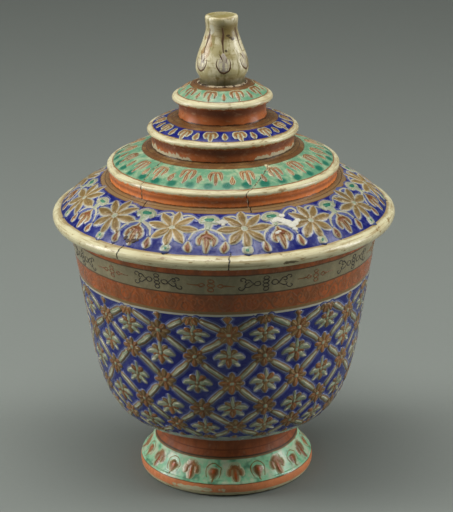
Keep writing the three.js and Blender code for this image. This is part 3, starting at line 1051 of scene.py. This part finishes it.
def lattice_bar():
    """A long bar with a brown edge and a pale streak, between two crossings."""
    return [
        stroke("gilt", 1.35, (0.8, 1, 1, 1, 0.8), (-4.8, 0), (0, 0), (4.8, 0)),
        stroke("celadon", 0.95, (0.75, 1, 1, 1, 0.75), (-4.4, 0), (0, 0), (4.4, 0)),
        # the pale streak along the bar: painted highlight
        stroke("frost", 0.42, (0.3, 0.8, 1, 0.8, 0.3), (-3.7, 0.2), (0, 0.3), (3.4, 0.1))]


def diamond_flower(brown, gold):
    """The flower inside a mesh of the lattice: pale lobes, brown lobes over them and a fan at its foot."""
    return [
        stroke("celadon", 1.1, (0.8, 1, 0.8, 0.45, 0.2), (0, 1.2), (0.1, 3.2), (0, 6)),
        stroke(gold, 1.55, (0.6, 0.9, 1, 0.75, 0.15), (0, -1), (0.1, -3), (0, -5.3)),
        stroke("glint", 0.22, THREAD, (-0.2, -1.8), (-0.1, -4)),
        *both_sides(
            stroke("celadon", 1.55, (0.6, 0.95, 1, 0.7, 0.12), (-1.4, 0), (-3.9, 0.6), (-6.6, -0.5)),
            stroke("celadon", 1.05, (0.7, 1, 1, 0.75, 0.2), (-1, -1.4), (-2.5, -2.6), (-4.4, -3.5)),
            stroke(brown, 1.4, (0.45, 0.85, 1, 0.95, 0.5), (-0.8, 1), (-2.1, 2.3), (-3.3, 3.1)),
            stroke(gold, 0.65, (0.8, 1, 1, 0.7, 0.2), (-1, -0.6), (-2.4, -0.9), (-4, -1.5)),
            stroke("glint", 0.2, THREAD, (-1.4, 1.9), (-2.5, 3.1)),
            # whitish streaks on the pale lobes: painted sheen
            stroke("frost", 0.62, BLADE, (-2.6, -3.1), (-4.8, -4.3)),
            stroke("frost", 0.42, BLADE, (-2.8, 1.1), (-5.6, 0.7))),
        dot("gilt", 0, 0, 1.4), dot("heart", 0, 0.1, 0.75, 0.9)]


def edge_drop(sign):
    """A small pendant of gilt at the edge of the lattice."""
    return [stroke(paint, half, (1, 0.9, 0.7, 0.45, 0.1), *((0, sign * y) for y in heights))
            for paint, half, heights in (("gilt", 1.75, (0.9, 1.8, 3.4)), ("red", 1.1, (1, 1.8, 3)))]


def scroll_group():
    """Black scrolls: a chain of four links between two rings and two curling clouds."""
    chain = [ring("ink", y, 1.35 - 0.1 * abs(y), 0.8, 0.27) for y in (-2.5, -0.85, 0.85, 2.5)]
    curls = [stroke("ink", 0.27, THREAD, *path) for path in (
        ((-5, 0.2), (-6, 0.9), (-7, 1.9), (-8.2, 2), (-8.6, 1.1), (-7.9, 0.5), (-7.2, 1)),
        ((-5, 0.2), (-6.2, -0.7), (-7.4, -1.5), (-8.4, -1.2), (-8.5, -0.4), (-7.8, -0.2)),
        ((-8.2, 2), (-9.2, 2.8), (-10.3, 2.6), (-10.4, 1.7), (-9.6, 1.5)),
        ((-8.3, -1.4), (-9.3, -2.6), (-10.5, -2.6), (-10.9, -1.7), (-10.1, -1.3)))]
    return chain + both_sides(ring("ink", 0.2, 1.35, 1.1, 0.27, x=-3.6), *curls)


def knot_group():
    """A red brown knot of three links between two drawn-out drops."""
    chain = [ring("red", y, 1.35 - 0.12 * abs(y), 0.8, 0.34) for y in (-1.9, 0, 1.9)]
    return chain + both_sides(
        *(stroke("red", 0.34, THREAD, (-2.4, 0), (-3.7, y), (-5, 0)) for y in (0.75, -0.75)),
        stroke("red", 0.5, (1, 0.8, 0.5, 0.4, 0.3), (-4.7, 0), (-6.6, 0), (-9.2, 0)))


def gilt_lyre():
    """The faint gilt scroll of the orange band."""
    return both_sides(
        stroke("gilt", 0.36, THREAD,
               (0, -3.2), (-2, -2.2), (-2.8, 0), (-1.7, 1.9), (-0.5, 0.7), (-1.3, -0.5)),
        stroke("gilt", 0.36, THREAD, (-2.8, 0), (-4.3, 1.5), (-5.4, 3)),
        stroke("gilt", 0.3, THREAD, (-5.6, -3), (-4.4, -1.4), (-5.6, 0.2))) + [
            stroke("gilt", 0.7, DROP, (0, 3.2), (0, 1.8))]


def brim_flower():
    """A big flower of eight long petals."""
    marks = []
    for step in range(8):
        reach = 9.9 if step % 4 else 10.9
        marks.append(petal("petal", 45 * step, 1.4, reach, 1.7, (0.4, 0.75, 1, 0.85, 0.15), 0.95))
        marks.append(petal("vein", 45 * step, 2.2, reach * 0.78, 0.2, THREAD, 0.95))
    return marks + [dot("halo", 0, 0, 1.5), dot("celadon", 0, 0, 0.85)]


def lotus_spray():
    """A green bud with a brown umbrella leaf under it, two stems with drops, and tendrils."""
    return [
        stroke("green", 2.1, ROUND, (-3.7, 16.2), (0, 17.9), (3.7, 16.2)),
        stroke("green", 1.8, (1, 0.9, 0.65, 0.5, 0.6), (0, 16), (0, 14.4), (0, 12.4)),
        dot("pool", 0, 17.3, 2.2, 1.2), dot("gold", -2.9, 16.4, 0.45), dot("gold", 2.9, 16.4, 0.45),
        stroke("red", 1.4, (0.35, 0.85, 1, 0.9, 0.3), (0, 11.4), (0, 6.4), (0, 1.6)),
        stroke("red", 1.5, (0.6, 0.95, 1, 0.95, 0.6), (-2.5, 7.7), (0, 9), (2.5, 7.7)),
        stroke("gold", 0.42, DROP, (0, 7.6), (0, 2.8)),
        *both_sides(
            stroke("red", 1.05, (0.8, 1, 1, 0.85, 0.35), (-2.4, 8), (-3.1, 6.4), (-2.8, 4.6)),
            stroke("gold", 0.2, THREAD, (-1.5, 6.6), (-2, 7.9), (-2.9, 7.2), (-3, 5.6))),
        *both_sides(
            stroke("halo", 0.62, (1, 1, 0.9, 0.8, 0.7), (-0.6, 12.6), (-3.4, 11.7), (-5.7, 9.8), (-7.2, 6.9)),
            stroke("red", 1.35, DROP, (-7.4, 5.9), (-7.4, 3.8), (-7.4, 1.6)),
            stroke("halo", 0.4, THREAD, (-4.6, 9.9), (-6.2, 11.4), (-5.8, 12.9), (-4.7, 12.5)),
            stroke("halo", 0.5, THREAD,
                   (-4.4, 16.9), (-6.8, 19.2), (-9.4, 19.7), (-11.2, 18.4), (-10.6, 17), (-9.3, 17.5)))]


def blobs(paint, *spots):
    """A ragged patch, from the middle and the half width of each of its blobs."""
    return [dot(paint, x, y, half, half * 0.8) for x, y, half in spots]


def veined(*marks):
    """The strokes with a thin line down the middle of each."""
    lines = []
    for mark in marks:
        middle = sum(mark.path, Vector((0, 0))) / len(mark.path)
        path = (point + (middle - point) * 0.3 for point in mark.path)
        lines.append(stroke("vein", mark.half * 0.3, THREAD, *path))
    return [*marks, *lines]


def umbrella_leaf(width, height, fullness, low):
    """Three drooping strokes under one tip, standing on y = low."""
    half, side = width * fullness, width * 0.5 * (1.12 - fullness)
    middle = stroke("red", half, (0.7, 0.8, 0.95, 1, 0.3),
                    (0, height - half * 0.5), (0, height * 0.5), (0, half * 0.3))
    lobe = stroke("red", half, (0.7, 0.9, 1, 0.95, 0.35), (-0.2, height * 0.97 - half * 0.5),
                  (-side * 0.75, height * 0.87), (-side, height * 0.62), (-side * 0.95, height * 0.34))
    return moved(veined(middle, *both_sides(lobe)), lift=low)


def small_drop(width, height, low):
    return veined(stroke("red", width / 2, DROP, (0, low + height), (0, low + height * 0.5), (0, low)))


def foot_leaf():
    """A solid drooping leaf: a wide cap, two short lobes and a long middle one."""
    return [
        stroke("red", 1.25, ROUND, (-1.9, 6.5), (0, 7.7), (1.9, 6.5)),
        stroke("red", 1.35, (0.9, 1, 0.95, 0.75, 0.3), (0, 7), (0, 3.9), (0, 0.9)),
        stroke("vein", 0.6, (0.4, 0.9, 1, 0.9, 0.3), (0, 5.6), (0, 2)),
        *both_sides(stroke("red", 1, (0.8, 1, 0.95, 0.8, 0.4), (-2, 6.6), (-2.5, 5), (-2.2, 3.7)))]


def foot_bud():
    """A round bud with its tip down, under a little arch."""
    return [
        stroke("red", 2, (0.15, 0.5, 0.95, 1, 0.75), (0, 2.4), (0, 4.6), (0, 6.3)),
        stroke("vein", 0.9, (0.5, 0.8, 1, 1, 0.7), (0, 4.6), (0, 6)),
        stroke("arch", 0.24, THREAD,
               (-2.4, 2.6), (-3.1, 4.9), (-2.6, 7.3), (0, 8.8), (2.6, 7.3), (3.1, 4.9), (2.4, 2.6)),
        stroke("arch", 0.45, (0.3, 0.7, 1, 1, 1), (0, 0.6), (0, 2.6))]


def knop_petal():
    """A lotus petal that hangs from its stem, drawn in outline, with a pinkish grey heart."""
    return [
        *both_sides(stroke("umber", 0.34, (1.5, 1.2, 1, 0.6, 0.2),
                           (0, 4.9), (-1.7, 5.7), (-2.8, 7.4), (-3, 9.4), (-2.7, 10.6))),
        stroke("pink", 2.3, (0.7, 1, 1, 0.75, 0.3), (0, 5.8), (0, 8.6), (0, 12.6)),
        stroke("umber", 0.3, BLADE, (-0.2, 9.6), (-0.9, 11.2), (-1.8, 12.6)),
        stroke("umber", 0.6, (0.6, 0.8, 1, 0.6, 0.35), (0, 23.6), (0.2, 20.4), (-0.1, 17), (0.1, 13)),
        stroke("umber", 0.2, BLADE, (1, 9), (1.4, 11))]


# Operators, with the heights and sizes of the pattern in mm


class JAR_OT_throw_base(bpy.types.Operator):
    """Turn the skins of the bowl and its foot"""

    bl_idname = "jar.throw_base"
    bl_label = "Bowl and foot"

    def execute(self, context):
        inside = lining("jar_lining")
        turned_skin("bowl_skin", "bowl", bowl_paint(), inside, end=(62.95, 115))
        turned_skin("foot_skin", "foot_ring", foot_paint(), inside, end=(25.1, 25.5))
        return {"FINISHED"}


class JAR_OT_throw_lid(bpy.types.Operator):
    """Turn the skins of the lid, from its flange to its upper tier"""

    bl_idname = "jar.throw_lid"
    bl_label = "Lid"

    def execute(self, context):
        hue, inside = hues(), lining("lid_lining")
        green = (hue.leaf_green.to(hue.pool_green, 0.35), hue.leaf_green.to(hue.cream, 0.45))
        blue = (hue.cobalt.to(hue.ink, 0.2), hue.cobalt.to(hue.cobalt_pale, 0.5))
        brown = hue.umber.to(hue.orange, 0.25)
        lower = tier_paint(
            "lower", *green, brown, 0.18, lit_brightness=2.7, cove_shade=0.6, shade_span=(0.62, 0.3), root_tone=0.8, pools=36,
            cracks=((13.6, 47.1, 1.45, 133.5, 146), (-43.3, 49, -0.3, 133.5, 146)),
            flakes=((31, 145, 1.8, 0.8, 0.6), (28, 144, 0.8, 0.4, 0.8)))
        middle = tier_paint("middle", *blue, hue.stain, 0.2, bare=20)
        upper = tier_paint("upper", *green, brown, 0.26, lit_brightness=1.2)
        turned_skin("flange_skin", "lid_flange", inside)
        turned_skin("brim_skin", "lid_brim", brim_paint(), inside, end=(44.3, 133.5))
        turned_skin("lower_tier_skin", "lid_lower_tier", lower, inside, end=(26.1, 147.1))
        turned_skin("middle_tier_skin", "lid_middle_tier", middle, inside, end=(14.7, 159.6))
        turned_skin("upper_tier_skin", "lid_upper_tier", upper, inside, start=(18.7, 159.6))
        return {"FINISHED"}


class JAR_OT_throw_knop(bpy.types.Operator):
    """Turn the bud knop and the filler it is bedded in"""

    bl_idname = "jar.throw_knop"
    bl_label = "Knop"

    def execute(self, context):
        turned_skin("knop_skin", "bud_knop", knop_paint())
        turned_skin("bedding_skin", "knop_bedding", filler_paint())
        return {"FINISHED"}


class JAR_OT_paint_lattice(bpy.types.Operator):
    """Lay the trellis of crossings, bars and flowers on the bowl"""

    bl_idname = "jar.paint_lattice"
    bl_label = "Lattice"

    # heights of the crossings, and how far each row has slipped round in degrees
    rows = ((92.4, -0.5), (83.9, 0), (73.3, 0), (61, 0.8), (48.8, 1.6), (38.8, 2.6), (31.2, 3))
    first_turn = 1.6
    full_radius = 61  # where the motifs have their full size
    least_size = 0.35  # share of their size that they would keep on the axis
    clear = 4.5  # from a crossing's middle to a bar's end
    bar_length = 9.6
    flower_tall = 13.4
    tuck = 0.55  # how far inside the lattice the half flowers at its edges stand

    def spots(self, step):
        profile = Profile.of("bowl")
        heights = [profile.along(height) for height, _ in self.rows]
        last = len(self.rows) - 1
        spots = []
        for row, (along, (_, slipped)) in enumerate(zip(heights, self.rows)):
            narrowed = profile.radius(along) / self.full_radius
            shrink = min(1, self.least_size + (1 - self.least_size) * narrowed)
            crossing = self.first_turn + slipped + (0 if row % 2 else step)
            edge, tuck = {0: ("top ", -self.tuck), last: ("foot ", self.tuck)}.get(row, ("", 0))
            inside = "drop" if edge else "odd flower" if row % 2 else "even flower"
            room = heights[max(row - 1, 0)] - heights[min(row + 1, last)] - 2 * self.clear * shrink
            tall = shrink if edge else min(shrink, abs(room) / self.flower_tall)
            spots.append(Spot(f"{edge}crossing", crossing, along + tuck, size=(shrink, shrink)))
            spots.append(Spot(edge + inside, crossing + step, along, size=(shrink, tall)))
            if row == last:
                continue
            middle, fall = (along + heights[row + 1]) / 2, heights[row + 1] - along
            slip = self.rows[row + 1][1] - slipped
            for onward in (slip - step, slip + step):
                run = math.radians(onward) * profile.radius(middle)
                length = math.hypot(run, fall) - 2 * self.clear * shrink
                spots.append(Spot("bar", crossing + onward / 2, middle, math.degrees(math.atan2(fall, run)),
                                  (length / self.bar_length, shrink)))
        return spots

    def execute(self, context):
        hue, pattern = hues(), context.scene.jar_pattern
        halo, paints = pattern.halo / MM, "gilt red celadon"
        motifs = {
            "crossing": rosette(), "top crossing": half_rosette(-1), "foot crossing": half_rosette(1),
            "odd flower": diamond_flower("red", "gilt"), "top drop": edge_drop(-1), "foot drop": edge_drop(1),
            "bar": lattice_bar(), "even flower": diamond_flower("gilt", "red")}
        enamelled("lattice", "bowl", motifs, self.spots(180 / pattern.lattice_columns), [
            ("wash", paints, 2.3 * halo, 0.15, hue.cobalt.to(hue.cobalt_pale, 0.65), *PLAIN),
            ("halo", f"{paints} frost", 1.1 * halo, 0.35, hue.halo.to(hue.cobalt_pale, 0.35), *PLAIN),
            ("outline", paints, 0.22, 0.6, hue.umber, 0.6, 0.35),
            ("gilt", "gilt", 0, 0.85, *gilded(hue.gilt.to(hue.orange, 0.12).times(0.72))),
            ("celadon", "celadon", 0, 1, *paled(hue)),
            ("red", "red", 0, 1.15, *reddened(hue)),
            ("glints", "glint", 0, 1.3, *gilded(hue.gilt.to(hue.cream, 0.35))),
            ("hearts", "heart", 0, 1.35, *paled(hue)),
            # whitish streaks on the bars and lobes: painted highlight and sheen
            ("frost", "frost", 0, 1.35, hue.cream.to(hue.white, 0.15), *PLAIN),
        ], pattern.lattice_columns, seed=3, loose=1.5)
        return {"FINISHED"}


class JAR_OT_paint_bands(bpy.types.Operator):
    """Lay the scrolls of the cream band and the gilt of the orange one"""

    bl_idname = "jar.paint_bands"
    bl_label = "Bands under the rim"

    repeats = 9
    scroll_turn = 15
    knot_turn = -5
    cream_middle = 106.5
    orange_middle = 98.4

    def execute(self, context):
        hue, profile = hues(), Profile.of("bowl")
        cream, orange = profile.along(self.cream_middle), profile.along(self.orange_middle)
        enamelled("cream_band", "bowl", {"scrolls": scroll_group(), "knot": knot_group()}, [
            Spot("scrolls", self.scroll_turn, cream), Spot("knot", self.knot_turn, cream)], [
            ("scrolls", "ink", 0, 0.5, hue.ink, hue.ink.to(hue.umber, 0.5), 0.4),
            ("knots", "red", 0, 0.5, *reddened(hue)),
        ], self.repeats, seed=5)
        enamelled("orange_band", "bowl", {"lyre": gilt_lyre()}, [Spot("lyre", 0, orange)], [
            ("gilt", "gilt", 0.2, 0.1, hue.umber.to(hue.orange, 0.25), hue.umber.to(hue.orange, 0.7)),
        ], 4 * self.repeats, seed=6)
        return {"FINISHED"}


class JAR_OT_paint_brim(bpy.types.Operator):
    """Lay the flowers and sprays of the brim, its old filler and its burnt spot"""

    bl_idname = "jar.paint_brim"
    bl_label = "Brim"

    flower_turn = 7.8
    spray_turn = -6.2
    roof_foot = 120.5

    def execute(self, context):
        hue, pattern = hues(), context.scene.jar_pattern
        foot, halo = Profile.of("lid_brim").along(self.roof_foot), pattern.halo / MM
        pale, stems = (hue.halo.to(hue.cream, share).times(0.84) for share in (0.6, 0.75))
        paints = "petal red green celadon"
        pearl = [dot("celadon", 0, 0.4, 1.7, 2.4), dot("pool", 0, 0.4, 0.7, 1.1)]
        motifs = {"flower": brim_flower(), "pearl": pearl, "spray": lotus_spray()}
        enamelled("brim", "lid_brim", motifs, [
            Spot("flower", self.flower_turn, foot + 12.2), Spot("pearl", self.flower_turn, foot + 2.1),
            Spot("spray", self.spray_turn, foot)], [
            ("wash", f"{paints} halo", 1.9 * halo, 0.15, hue.cobalt_pale.to(hue.halo, 0.1), *PLAIN),
            ("halo", paints, halo, 0.45, pale, *PLAIN),
            ("stems", "halo", 0, 0.7, stems, *PLAIN),
            ("edges", "petal red", 0, 0.8, *gilded(hue.gilt.to(hue.cream, 0.2))),
            ("petals", "petal", -0.3, 1, *gilded(hue.gilt.to(hue.olive, 0.22).times(0.88))),
            ("red", "red", -0.35, 1, *gilded(hue.umber.to(hue.orange, 0.35).times(0.8))),
            ("veins", "vein", 0, 1.1, hue.gilt.times(0.6), hue.umber, 0.4),
            ("gold", "gold", 0, 1.2, *gilded(hue.gilt.to(hue.cream, 0.12))),
            ("green", "green celadon", 0, 1.1, *paled(hue)),
            ("hearts", "pool", 0, 1.5, hue.pool_green.to(hue.leaf_green, 0.35), hue.pool_green, 0.18),
        ], pattern.brim_flowers, seed=11, loose=1.3)
        patches = {
            "small": blobs("filler", (-1.4, 0.2, 1.3), (-0.2, 0.5, 1.5), (1, 0.3, 1.2), (0.1, -0.9, 0.9)),
            "large": blobs(
                "filler", (-4.4, 2.3, 1.5), (-2.9, 3.2, 1.8), (-1.2, 2, 2.2), (0.6, 0.4, 2.5),
                (2.3, -1.2, 2.3), (4.1, -0.6, 1.9), (5.7, 0.7, 1.4), (-5.6, -4.2, 1.1), (-4.4, -3.6, 0.9),
                (-0.2, 4.8, 1.5), (3, -3.4, 1.3))}
        enamelled("brim_repair", "lid_brim", patches, [
            Spot("small", -0.4, foot + 16), Spot("large", 24.8, foot + 12.6), Spot("small", 152, foot + 9)], [
            ("filler", "filler", 0, 1.6, hue.cream.to(hue.white, 0.4).times(0.75), 0.75, 0.55, 0, 2),
        ], 1, seed=41, loose=1.6)
        burnt = blobs(
            "burnt", (-3, 0.4, 0.9), (-1.2, -0.6, 1.1), (0.8, 0.2, 1.2), (2.4, 1, 0.8), (0.4, 2.4, 0.5))
        enamelled("brim_burn", "lid_brim", {"burn": burnt}, [
            Spot("burn", -33.5, foot + 3.4), Spot("burn", 118, foot + 5)], [
            ("loss", "burnt", 0, 1.3, hue.ink.to(hue.umber, 0.4), hue.ink, 0.5, 0, 1.2),
        ], 1, seed=43, loose=1.6)
        return {"FINISHED"}


class JAR_OT_paint_tiers(bpy.types.Operator):
    """Lay the leaves and drops of the three tiers"""

    bl_idname = "jar.paint_tiers"
    bl_label = "Tiers"

    def execute(self, context):
        hue, pattern = hues(), context.scene.jar_pattern
        vein, dark = hue.iron_red.to(hue.umber, 0.3), hue.gilt.times(0.6)
        lower = (4.9, 9.6, 0.16, 2.7), (2.1, 4.4, 4.1), 0.35, 0.8, hue.gilt.to(hue.cream, 0.45)
        middle = (4.2, 6.2, 0.19, 0.5), (1.9, 4, 1.5), 0.55, 0.15, dark
        upper = (4.9, 6.2, 0.15, 0.5), (1.5, 3.6, 1.5), 0.35, 0.4, dark
        for tier, count, turn, (leaf, drop, edge, redness, heart) in (
                ("lower", pattern.lower_leaves, -4, lower), ("middle", pattern.middle_leaves, -10.6, middle),
                ("upper", pattern.upper_leaves, -18, upper)):
            node, (_, _, foot, _) = f"lid_{tier}_tier", STOREYS[tier]
            along = Profile.of(node).along(foot)
            enamelled(f"{tier}_tier", node, {"leaf": umbrella_leaf(*leaf), "drop": small_drop(*drop)}, [
                Spot("leaf", turn, along), Spot("drop", turn + 180 / count, along)], [
                ("halo", "red", edge, 0.5, hue.celadon.to(hue.cream, 0.3), *PLAIN),
                ("leaves", "red", 0, 1, *gilded(hue.gilt.to(hue.iron_red, redness))),
                ("hearts", "red", -0.35, 1.1, heart, 0.55),
                ("veins", "vein", 0, 1.2, vein, 0.7),
            ], count, seed=17, loose=1.2)
        return {"FINISHED"}


class JAR_OT_paint_foot(bpy.types.Operator):
    """Lay the leaves and buds of the foot"""

    bl_idname = "jar.paint_foot"
    bl_label = "Foot"

    leaf_turn = 6.8
    flare_foot = 6.1

    def execute(self, context):
        hue, count = hues(), context.scene.jar_pattern.foot_leaves
        along = Profile.of("foot_ring").along(self.flare_foot)
        pale = hue.cream.to(hue.leaf_green, 0.12)
        enamelled("foot", "foot_ring", {"leaf": foot_leaf(), "bud": foot_bud()}, [
            Spot("leaf", self.leaf_turn, along), Spot("bud", self.leaf_turn + 180 / count, along)], [
            ("halo", "red", 1, 0.15, pale, pale.to(hue.leaf_green, 0.6), 0.22),
            ("gold", "red", 0.35, 0.3, hue.gilt.to(hue.cream, 0.15), 0.6),
            ("leaves", "red", -0.3, 0.45, hue.orange.times(0.7).to(hue.gilt, 0.5), 0.6, 0.35),
            ("arches", "arch", 0.05, 0.3, hue.gilt.to(hue.olive, 0.4), hue.olive),
            ("veins", "vein", 0, 0.55, hue.orange, 0.6),
        ], count, seed=23, loose=1.2)
        return {"FINISHED"}


class JAR_OT_paint_knop(bpy.types.Operator):
    """Draw the lotus petals of the knop"""

    bl_idname = "jar.paint_knop"
    bl_label = "Knop petals"

    petals = 6
    first_turn = 3.5
    foot = 175.8

    def execute(self, context):
        hue, along = hues(), Profile.of("bud_knop").along(self.foot)
        pink = hue.filler.to(hue.halo, 0.5).times(0.85)
        enamelled("knop", "bud_knop", {"petal": knop_petal()}, [Spot("petal", self.first_turn, along)], [
            ("hearts", "pink", 0, 0.3, pink, pink.to(hue.ivory, 0.5), 0.35),
            ("lines", "umber", 0, 0.5, hue.umber.to(hue.ink, 0.5), hue.umber.to(hue.ink, 0.2), 0.35),
        ], self.petals, seed=29, loose=1.2)
        return {"FINISHED"}


class JAR_OT_set_stage(bpy.types.Operator):
    """Lay the floor and backdrop, and set the lamps and the camera"""

    bl_idname = "jar.set_stage"
    bl_label = "Stage"

    focal_pixels = 2000
    picture_height = 512
    middle_offset = 2.22 / picture_height  # how far left of the picture's middle the axis stands
    half_width = 5
    sweep_points = 41
    sky_colour = (0.8, 0.82, 0.84, 1)
    sky_strength = 0.06
    # the floor and backdrop from the front to the top, as places back and up
    sweep = ((-3.2, 0), (-1.6, 0), (0.9, 0), (1.25, 0.06), (1.5, 0.25), (1.6, 0.6), (1.62, 1.8))
    # place, size and power in watts of each lamp
    lamps = {
        "overhead": ((-0.07, -0.24, 1.5), (1.25, 0.75), 21), "left": ((-1, -0.02, 0.5), (0.35, 0.9), 10),
        "right": ((1, 0, 0.5), (0.35, 0.9), 8.2)}
    lamps_aim = Vector((0, 0, 0.1))

    def floor(self, stage):
        line = smooth_path([Vector(point) for point in self.sweep], self.sweep_points)
        vertices = [(side * self.half_width, back, max(up, 0)) for back, up in line for side in (-1, 1)]
        faces = [(index, index + 1, index + 3, index + 2) for index in range(0, 2 * len(line) - 2, 2)]
        mesh = bpy.data.meshes.new("floor")
        mesh.from_pydata(vertices, [], faces)
        mesh.polygons.foreach_set("use_smooth", [True] * len(faces))
        coat, plain = Coat("floor_card", 0.7), Colour(stage.floor)
        fibre = coat.noise(2, 3)
        colour = coat.mix(fibre, plain.times(0.97), plain.times(1.03))
        mesh.materials.append(coat.finish(colour, bump=fibre * 0.02))
        linked("floor", mesh)

    def camera(self, stage):
        data = bpy.data.cameras.new("camera")
        data.sensor_width = 36
        data.lens = data.sensor_width * self.focal_pixels / self.picture_height
        data.shift_x = self.middle_offset
        data.clip_start, data.clip_end = 0.05, 20
        camera = linked("camera", data)
        back = Vector((0, -math.cos(stage.elevation), math.sin(stage.elevation)))
        camera.location = Vector((0, 0, stage.aim)) + back * stage.distance
        camera.rotation_euler = (-back).to_track_quat("-Z", "Y").to_euler()
        camera.rotation_euler.rotate_axis("Z", stage.roll)
        return camera

    def execute(self, context):
        scene, stage = context.scene, context.scene.jar_stage
        self.floor(stage)
        for name, (place, size, power) in self.lamps.items():
            data = bpy.data.lights.new(name, "AREA")
            data.shape = "RECTANGLE"
            data.size, data.size_y = size
            data.energy = power * stage.lamp
            lamp = linked(name, data)
            lamp.location = place
            lamp.rotation_euler = (self.lamps_aim - lamp.location).to_track_quat("-Z", "Y").to_euler()
        scene.world = bpy.data.worlds.new("studio")
        scene.world.use_nodes = True
        sky = scene.world.node_tree.nodes["Background"].inputs
        sky["Color"].default_value = self.sky_colour
        sky["Strength"].default_value = self.sky_strength
        scene.view_settings.view_transform = "Standard"
        scene.camera = self.camera(stage)
        return {"FINISHED"}


class JAR_PT_panel(bpy.types.Panel):
    """Lists the jar's steps and its sizes and colours"""

    bl_label = "Enamelled jar"
    bl_space_type = "VIEW_3D"
    bl_region_type = "UI"
    bl_category = "Jar"

    def draw(self, context):
        for step in STEPS:
            self.layout.operator(step.bl_idname)
        for name, kind in GROUPS.items():
            column = self.layout.box().column()
            for choice in kind.__annotations__:
                column.prop(getattr(context.scene, name), choice)


STEPS = (
    JAR_OT_throw_base, JAR_OT_throw_lid, JAR_OT_throw_knop, JAR_OT_paint_lattice, JAR_OT_paint_bands,
    JAR_OT_paint_brim, JAR_OT_paint_tiers, JAR_OT_paint_foot, JAR_OT_paint_knop, JAR_OT_set_stage)
GROUPS = {"jar_palette": JarPalette, "jar_pattern": JarPattern, "jar_stage": JarStage}


def register():
    for name, group in GROUPS.items():
        bpy.utils.register_class(group)
        setattr(bpy.types.Scene, name, PointerProperty(type=group))
    for kind in (*STEPS, JAR_PT_panel):
        bpy.utils.register_class(kind)


def unregister():
    for kind in (JAR_PT_panel, *reversed(STEPS)):
        bpy.utils.unregister_class(kind)
    for name, group in GROUPS.items():
        delattr(bpy.types.Scene, name)
        bpy.utils.unregister_class(group)


def main():
    register()
    for step in STEPS:
        section, name = step.bl_idname.split(".")
        getattr(getattr(bpy.ops, section), name)()


if __name__ == "__main__":
    main()
